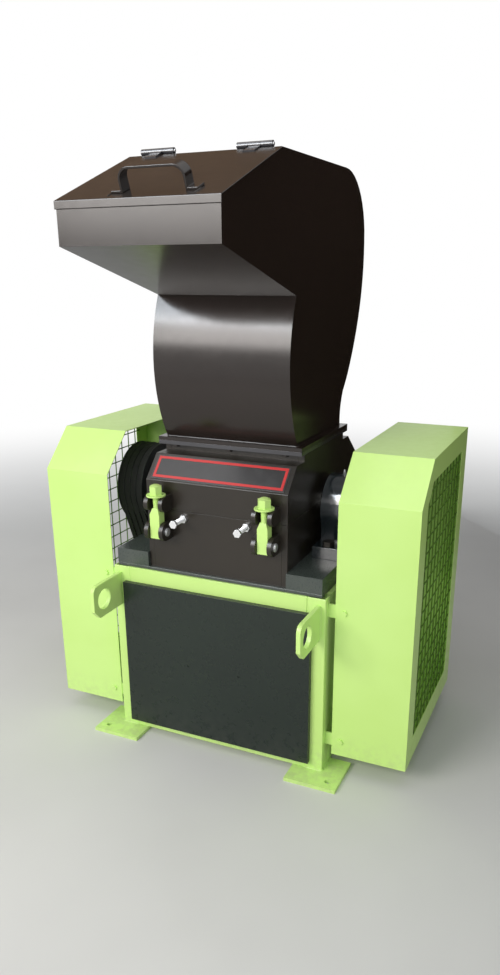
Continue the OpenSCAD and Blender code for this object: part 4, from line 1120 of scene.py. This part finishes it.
@dataclass
class GuardMeshes:
    """The welded wire mesh in each guard's window."""

    pitch: float = 39.0
    grid_t: float = 4.0
    radius: float = 1.75
    sides: int = 10
    crossing: float = 0.4
    end_gap: float = 0.3
    # How far the slanted corner reaches along the window and down it.
    cut: tuple[float, float] = (51.0, 55.0)

    def wires(self, shape: Shape, side: int, low: Vector, high: Vector) -> None:
        """Adds one guard's upright and level wires.

        Args:
            shape: The shape that takes them.
            side: 1 for the right guard and -1 for the left one.
            low: The windows' lowest corner.
            high: The windows' highest corner.
        """
        middle = high.x - self.grid_t / 2
        for axis, x, run, step in ((Axis.Z, middle - self.crossing / 2, 2, 1),
                                   (Axis.Y, middle + self.crossing / 2, 1, 2)):
            length = high[run] - low[run] - 2 * self.end_gap
            at = low[step] + self.grid_t / 2
            while at < high[step] - self.radius:
                foot = Vector((side * x, 0, 0))
                foot[run], foot[step] = low[run] + self.end_gap, at
                shape.rod(foot, axis.value, length, self.radius, self.sides)
                at += self.pitch

    def build(self) -> None:
        """Builds both meshes as one piece, trimmed at the guards' slanted corner."""
        shape = Shape()
        low, high = box_of("guard_meshes")
        for side in (-1, 1):
            self.wires(shape, side, low, high)
        along, down = self.cut
        trimmed = bmesh.ops.bisect_plane(
            shape.bm, geom=shape.bm.verts[:] + shape.bm.edges[:] + shape.bm.faces[:],
            plane_co=(0, low.y + along, high.z), plane_no=Vector((0, -down, along)).normalized(),
            clear_outer=True)
        rims = [e for e in trimmed["geom_cut"] if isinstance(e, bmesh.types.BMEdge)]
        bmesh.ops.holes_fill(shape.bm, edges=rims, sides=0)
        bmesh.ops.recalc_face_normals(shape.bm, faces=shape.bm.faces)
        shape.piece("guard_mesh_wires", Body.BASE, SHADED_LIME_WIRE, replaces=("guard_meshes",))


@dataclass
class DriveFittings:
    """Taper bushes with their screws on the pulleys and the flywheel."""

    shaft: float = 30.0
    motor_shaft: float = 19.0
    fit: float = 0.5
    lift: float = 0.1
    bush_out: float = 3.0
    bush_w: float = 14.0
    motor_bush_w: float = 11.2
    rim_share: float = 0.6
    rim_chamfer: float = 1.2
    bore_share: float = 0.7
    bore_chamfer: float = 1.0
    screws: int = 3
    screw_share: float = 0.9
    first_turn: float = 0.5
    head_share: float = 0.55
    head_h: float = 4.0

    def bush(self, shape: Shape, screws: Shape, centre: Sequence[float], way: Axis,
             shaft: float, wide: float) -> None:
        """Adds a bush's flange and its screws.

        Args:
            shape: The shape that takes the flange.
            screws: The shape that takes the screws.
            centre: The middle of the face that it sits on.
            way: The direction that it faces.
            shaft: The shaft's radius.
            wide: How wide its flange is.
        """
        inner, out = shaft + self.fit, self.bush_out
        shape.turned(centre, way.value, (
            (inner, self.lift), (inner + wide, self.lift), (inner + wide, out * self.rim_share),
            (inner + wide - self.rim_chamfer, out), (inner + self.bore_chamfer, out),
            (inner, out * self.bore_share), (inner, self.lift)), steps=56)
        middle = inner + wide / 2
        face = Vector(centre) + Vector(way.value) * out * self.screw_share
        for i in range(self.screws):
            turn = math.tau * i / self.screws + self.first_turn
            spot = face + Vector((0, math.cos(turn), math.sin(turn))) * middle
            screws.bolt_head(spot, way.value, wide * self.head_share, self.head_h)

    def build(self) -> None:
        """Builds the rotor's and the motor's bushes."""
        pulley, flywheel = box_of("driven_pulley")[0].x, box_of("flywheel")[1].x
        bushes, screws = Shape(), Shape()
        for x, way in ((pulley, Axis.BACK_X), (flywheel, Axis.X)):
            self.bush(bushes, screws, (x, 0, AXIS_Z), way, self.shaft, self.bush_w)
        bushes.piece("rotor_taper_bushes", Body.ROTOR, STEEL)
        screws.piece("rotor_bush_screws", Body.ROTOR, DARK_STEEL)
        low, high = box_of("motor_shaft")
        centre = (box_of("motor_pulley")[0].x, (low.y + high.y) / 2, (low.z + high.z) / 2)
        bushes, screws = Shape(), Shape()
        self.bush(bushes, screws, centre, Axis.BACK_X, self.motor_shaft, self.motor_bush_w)
        bushes.piece("motor_taper_bush", Body.MOTOR, STEEL)
        screws.piece("motor_bush_screws", Body.MOTOR, DARK_STEEL)


@dataclass
class MotorFittings:
    """The motor's eye bolt and the screws of its terminal box."""

    above: float = 150.0
    eye_at: tuple[float, float] = (-165.0, 128.0)
    eye_foot: Profile = ((0, -0.5), (9, -0.5), (9, 2.5), (6, 4.5), (4.5, 7), (0, 7))
    eye: float = 13.0
    neck: float = 4.0
    wire: float = 3.6
    screw: Profile = ((0, 0), (3.2, 0), (3.2, 1.2), (2.24, 2.2), (0, 2.4))
    edge: float = 7.0
    gland: float = 20.0
    level: float = 1.0

    def eye_bolt(self) -> None:
        """Builds the eye bolt on the motor's back."""
        spot = seat("motor_body", (*self.eye_at, box_of("motor_body")[1].z + self.above))
        if spot is None:
            return
        shape = Shape()
        shape.turned(spot, Axis.Z.value, self.eye_foot, steps=32)
        centre = spot + Vector((0, 0, self.eye + self.wire + self.neck))
        made = bmesh.ops.create_circle(
            shape.bm, segments=14, radius=self.wire,
            matrix=Matrix.Translation(centre + Vector((self.eye, 0, 0)))
            @ Matrix.Rotation(math.pi / 2, 4, "X"))
        ring = made["verts"] + list(dict.fromkeys(
            e for v in made["verts"] for e in v.link_edges))
        bmesh.ops.spin(shape.bm, geom=ring, cent=centre, axis=Axis.Y.value, angle=math.tau,
                       steps=40, use_merge=True)
        shape.clean()
        shape.piece("motor_eye_bolt", Body.BASE, ZINC)

    def box_screws(self) -> None:
        """Builds the lid screws of the terminal box, clear of its cable gland."""
        low, high = box_of("motor_terminal_box")
        shape = Shape()
        for x in (low.x + self.edge, high.x - self.edge - self.gland):
            for y in (low.y + self.edge, high.y - self.edge):
                spot = seat("motor_terminal_box", (x, y, high.z + self.above))
                if spot is not None and high.z - spot.z < self.level:
                    shape.turned(spot, Axis.Z.value, self.screw, steps=16)
        shape.piece("terminal_box_screws", Body.BASE, ZINC)

    def build(self) -> None:
        """Builds the eye bolt and the screws."""
        self.eye_bolt()
        self.box_screws()


@dataclass(frozen=True)
class Softbox:
    """A soft lamp, with its width and height."""

    name: str
    place: Triple
    aim: Triple
    size: tuple[float, float]
    watts: float
    colour: Triple = (1.0, 1.0, 1.0)
    diffuse: bool = True

    def build(self) -> None:
        """Adds the lamp. Without diffuse it shows in gloss alone."""
        lamp = bpy.data.lights.new(self.name, "AREA")
        lamp.color = self.colour
        lamp.shape = "RECTANGLE"
        lamp.size, lamp.size_y = self.size
        lamp.energy = self.watts
        made = bpy.data.objects.new(self.name, lamp)
        bpy.context.scene.collection.objects.link(made)
        made.visible_diffuse = self.diffuse
        made.location = self.place
        way = Vector(self.aim) - Vector(self.place)
        made.rotation_euler = way.to_track_quat("-Z", "Y").to_euler()


@dataclass(frozen=True)
class ClothFlag:
    """A cloth that the camera doesn't see and dark paint mirrors, with its width and height."""

    name: str
    place: Triple
    aim: Triple
    size: tuple[float, float]
    colour: Colour
    fold_share: float = 0.8

    def cloth(self) -> bpy.types.Material:
        """The cloth's material.

        Returns:
            The material, a little darker in patches.
        """
        made = bpy.data.materials.new(self.name + "_cloth")
        graph = Graph.emptied(made)
        patches = graph.ramp(graph.noise(graph.place(), scale=6.0, detail=2.0), low=0.3, high=0.7)
        dark = tuple(self.fold_share * c for c in self.colour[:3]) + (1.0,)
        shader = graph.node("ShaderNodeBsdfPrincipled", {
            "Base Color": graph.mix(patches, self.colour, dark), "Roughness": 0.95,
            "Specular IOR Level": 0.0})
        graph.node("ShaderNodeOutputMaterial", {"Surface": shader.outputs[0]})
        return made

    def build(self) -> None:
        """Hangs the cloth up, facing its aim."""
        way = Vector(self.aim) - Vector(self.place)
        turn = way.to_track_quat("Z", "Y").to_matrix().to_4x4()
        shape = Shape()
        bmesh.ops.create_grid(
            shape.bm, x_segments=1, y_segments=1, size=0.5,
            matrix=Matrix.Translation(self.place) @ turn @ Matrix.Diagonal((*self.size, 1, 1)))
        made = shape.thing(self.name, self.cloth())
        made.visible_camera = False
        made.visible_shadow = False


@dataclass(frozen=True)
class PhotoCamera:
    """The camera, where the photograph was taken from. Its angles are in degrees."""

    place: Triple = (0.892, -1.969, 1.277)
    yaw: float = 24.51
    pitch: float = -19.28
    roll: float = -0.34
    sensor: float = 36.0
    lens: float = 29.13
    shift: tuple[float, float] = (-0.0067, 0.0562)
    clip: tuple[float, float] = (0.05, 60.0)

    def build(self) -> None:
        """Puts the camera up and makes it the scene's."""
        lens = bpy.data.cameras.new("photo_camera")
        lens.sensor_width, lens.lens = self.sensor, self.lens
        lens.shift_x, lens.shift_y = self.shift
        lens.clip_start, lens.clip_end = self.clip
        made = bpy.data.objects.new("photo_camera", lens)
        bpy.context.scene.collection.objects.link(made)
        yaw, pitch, roll = (math.radians(a) for a in (self.yaw, self.pitch, self.roll))
        ahead = Vector((-math.sin(yaw) * math.cos(pitch), math.cos(yaw) * math.cos(pitch),
                        math.sin(pitch)))
        right = Vector((math.cos(yaw), math.sin(yaw), 0))
        up = right.cross(ahead)
        side = right * math.cos(roll) + up * math.sin(roll)
        top = up * math.cos(roll) - right * math.sin(roll)
        made.rotation_euler = Matrix((side, top, -ahead)).transposed().to_euler()
        made.location = self.place
        bpy.context.scene.camera = made


@dataclass
class Studio:
    """The pale floor, white backdrop, soft lamps, cloths and camera."""

    floor_half: float = 12.0
    floor_colour: Colour = linear(214, 214, 212)
    floor_shade: Colour = linear(208, 208, 206)
    fade: tuple[float, float] = (1.6, 5.0)
    sky: Colour = (0.94, 0.97, 1.0, 1.0)
    sky_strength: float = 0.52
    lamps: tuple[Softbox, ...] = (
        Softbox("key_left", (-1.15, -3.0, 2.02), (0, -0.3, 1.0), (1.8, 1.1), 61,
                (1.0, 0.955, 0.915)),
        Softbox("window", (-0.85, -1.8, 2.3), (0, -0.2, 1.15), (1.1, 0.9), 46,
                (0.86, 0.93, 1.0), diffuse=False),
        Softbox("fill_front", (0.9, -3.6, 2.2), (0, 0, 0.6), (1.6, 1.2), 17),
        Softbox("top", (-0.3, -0.6, 3.8), (0, 0, 0.8), (2.0, 2.0), 22))
    flags: tuple[ClothFlag, ...] = (
        ClothFlag("flag_right", (1.15, 1.2, 1.1), (0.1, 0.2, 1.1), (3.0, 2.4),
                  linear(60, 49, 42)),
        ClothFlag("flag_lid", (-0.75, 0.9, 2.35), (0, -0.4, 1.45), (2.4, 1.7),
                  linear(158, 132, 110)))

    def floor(self) -> None:
        """Builds a wide pale floor that fades to white."""
        material = bpy.data.materials.new("studio_floor_paint")
        graph = Graph.emptied(material)
        place = graph.place()
        patches = graph.ramp(graph.noise(place, scale=1.5, detail=3.0), low=0.3, high=0.7)
        shader = graph.node("ShaderNodeBsdfPrincipled", {
            "Base Color": graph.mix(patches, self.floor_colour, self.floor_shade),
            "Roughness": 0.75, "Specular IOR Level": 0.25})
        away = graph.node("ShaderNodeVectorMath", {0: place}, operation="LENGTH").outputs["Value"]
        share = graph.maths("MULTIPLY", graph.ramp(away, *self.fade), graph.seen())
        white = graph.node("ShaderNodeEmission", {"Color": WHITE, "Strength": 1.0})
        both = graph.node("ShaderNodeMixShader", {
            0: share, 1: shader.outputs[0], 2: white.outputs[0]})
        graph.node("ShaderNodeOutputMaterial", {"Surface": both.outputs[0]})
        shape = Shape()
        bmesh.ops.create_grid(shape.bm, x_segments=1, y_segments=1, size=self.floor_half)
        shape.thing("studio_floor", material)

    def world(self) -> None:
        """Builds a world that lights softly and looks white to the camera."""
        world = bpy.context.scene.world or bpy.data.worlds.new("studio")
        bpy.context.scene.world = world
        graph = Graph.emptied(world)
        soft = graph.node("ShaderNodeBackground", {
            "Color": self.sky, "Strength": self.sky_strength})
        white = graph.node("ShaderNodeBackground", {"Color": WHITE, "Strength": 1.0})
        both = graph.node("ShaderNodeMixShader", {
            0: graph.seen(), 1: soft.outputs[0], 2: white.outputs[0]})
        graph.node("ShaderNodeOutputWorld", {"Surface": both.outputs[0]})

    def build(self) -> None:
        """Builds the floor, the world, the lamps, the cloths and the camera."""
        bpy.context.scene.view_settings.view_transform = "Standard"
        self.floor()
        self.world()
        for part in (*self.lamps, *self.flags, PhotoCamera()):
            part.build()
        log.info("studio built with %d lamps", len(self.lamps))


def clear_startup() -> None:
    """Removes what Blender's start file holds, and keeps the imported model."""
    kept = set(frame["nodes"].values()) | set(frame["bodies"].values())
    for thing in [o for o in bpy.data.objects if o not in kept]:
        bpy.data.objects.remove(thing)


def main() -> None:
    """Builds the studio and dresses the machine, one sub-assembly after another."""
    logging.basicConfig(level=logging.INFO, format="%(name)s: %(message)s")
    clear_startup()
    for part in (Studio(), CadDress(), Sign(), FrameWelds(), ClampBolts(), AdjustingBolts(),
                 BearingFittings(), HopperFittings(), GuardMeshes(), DriveFittings(),
                 MotorFittings()):
        part.build()


if __name__ == "__main__":
    main()
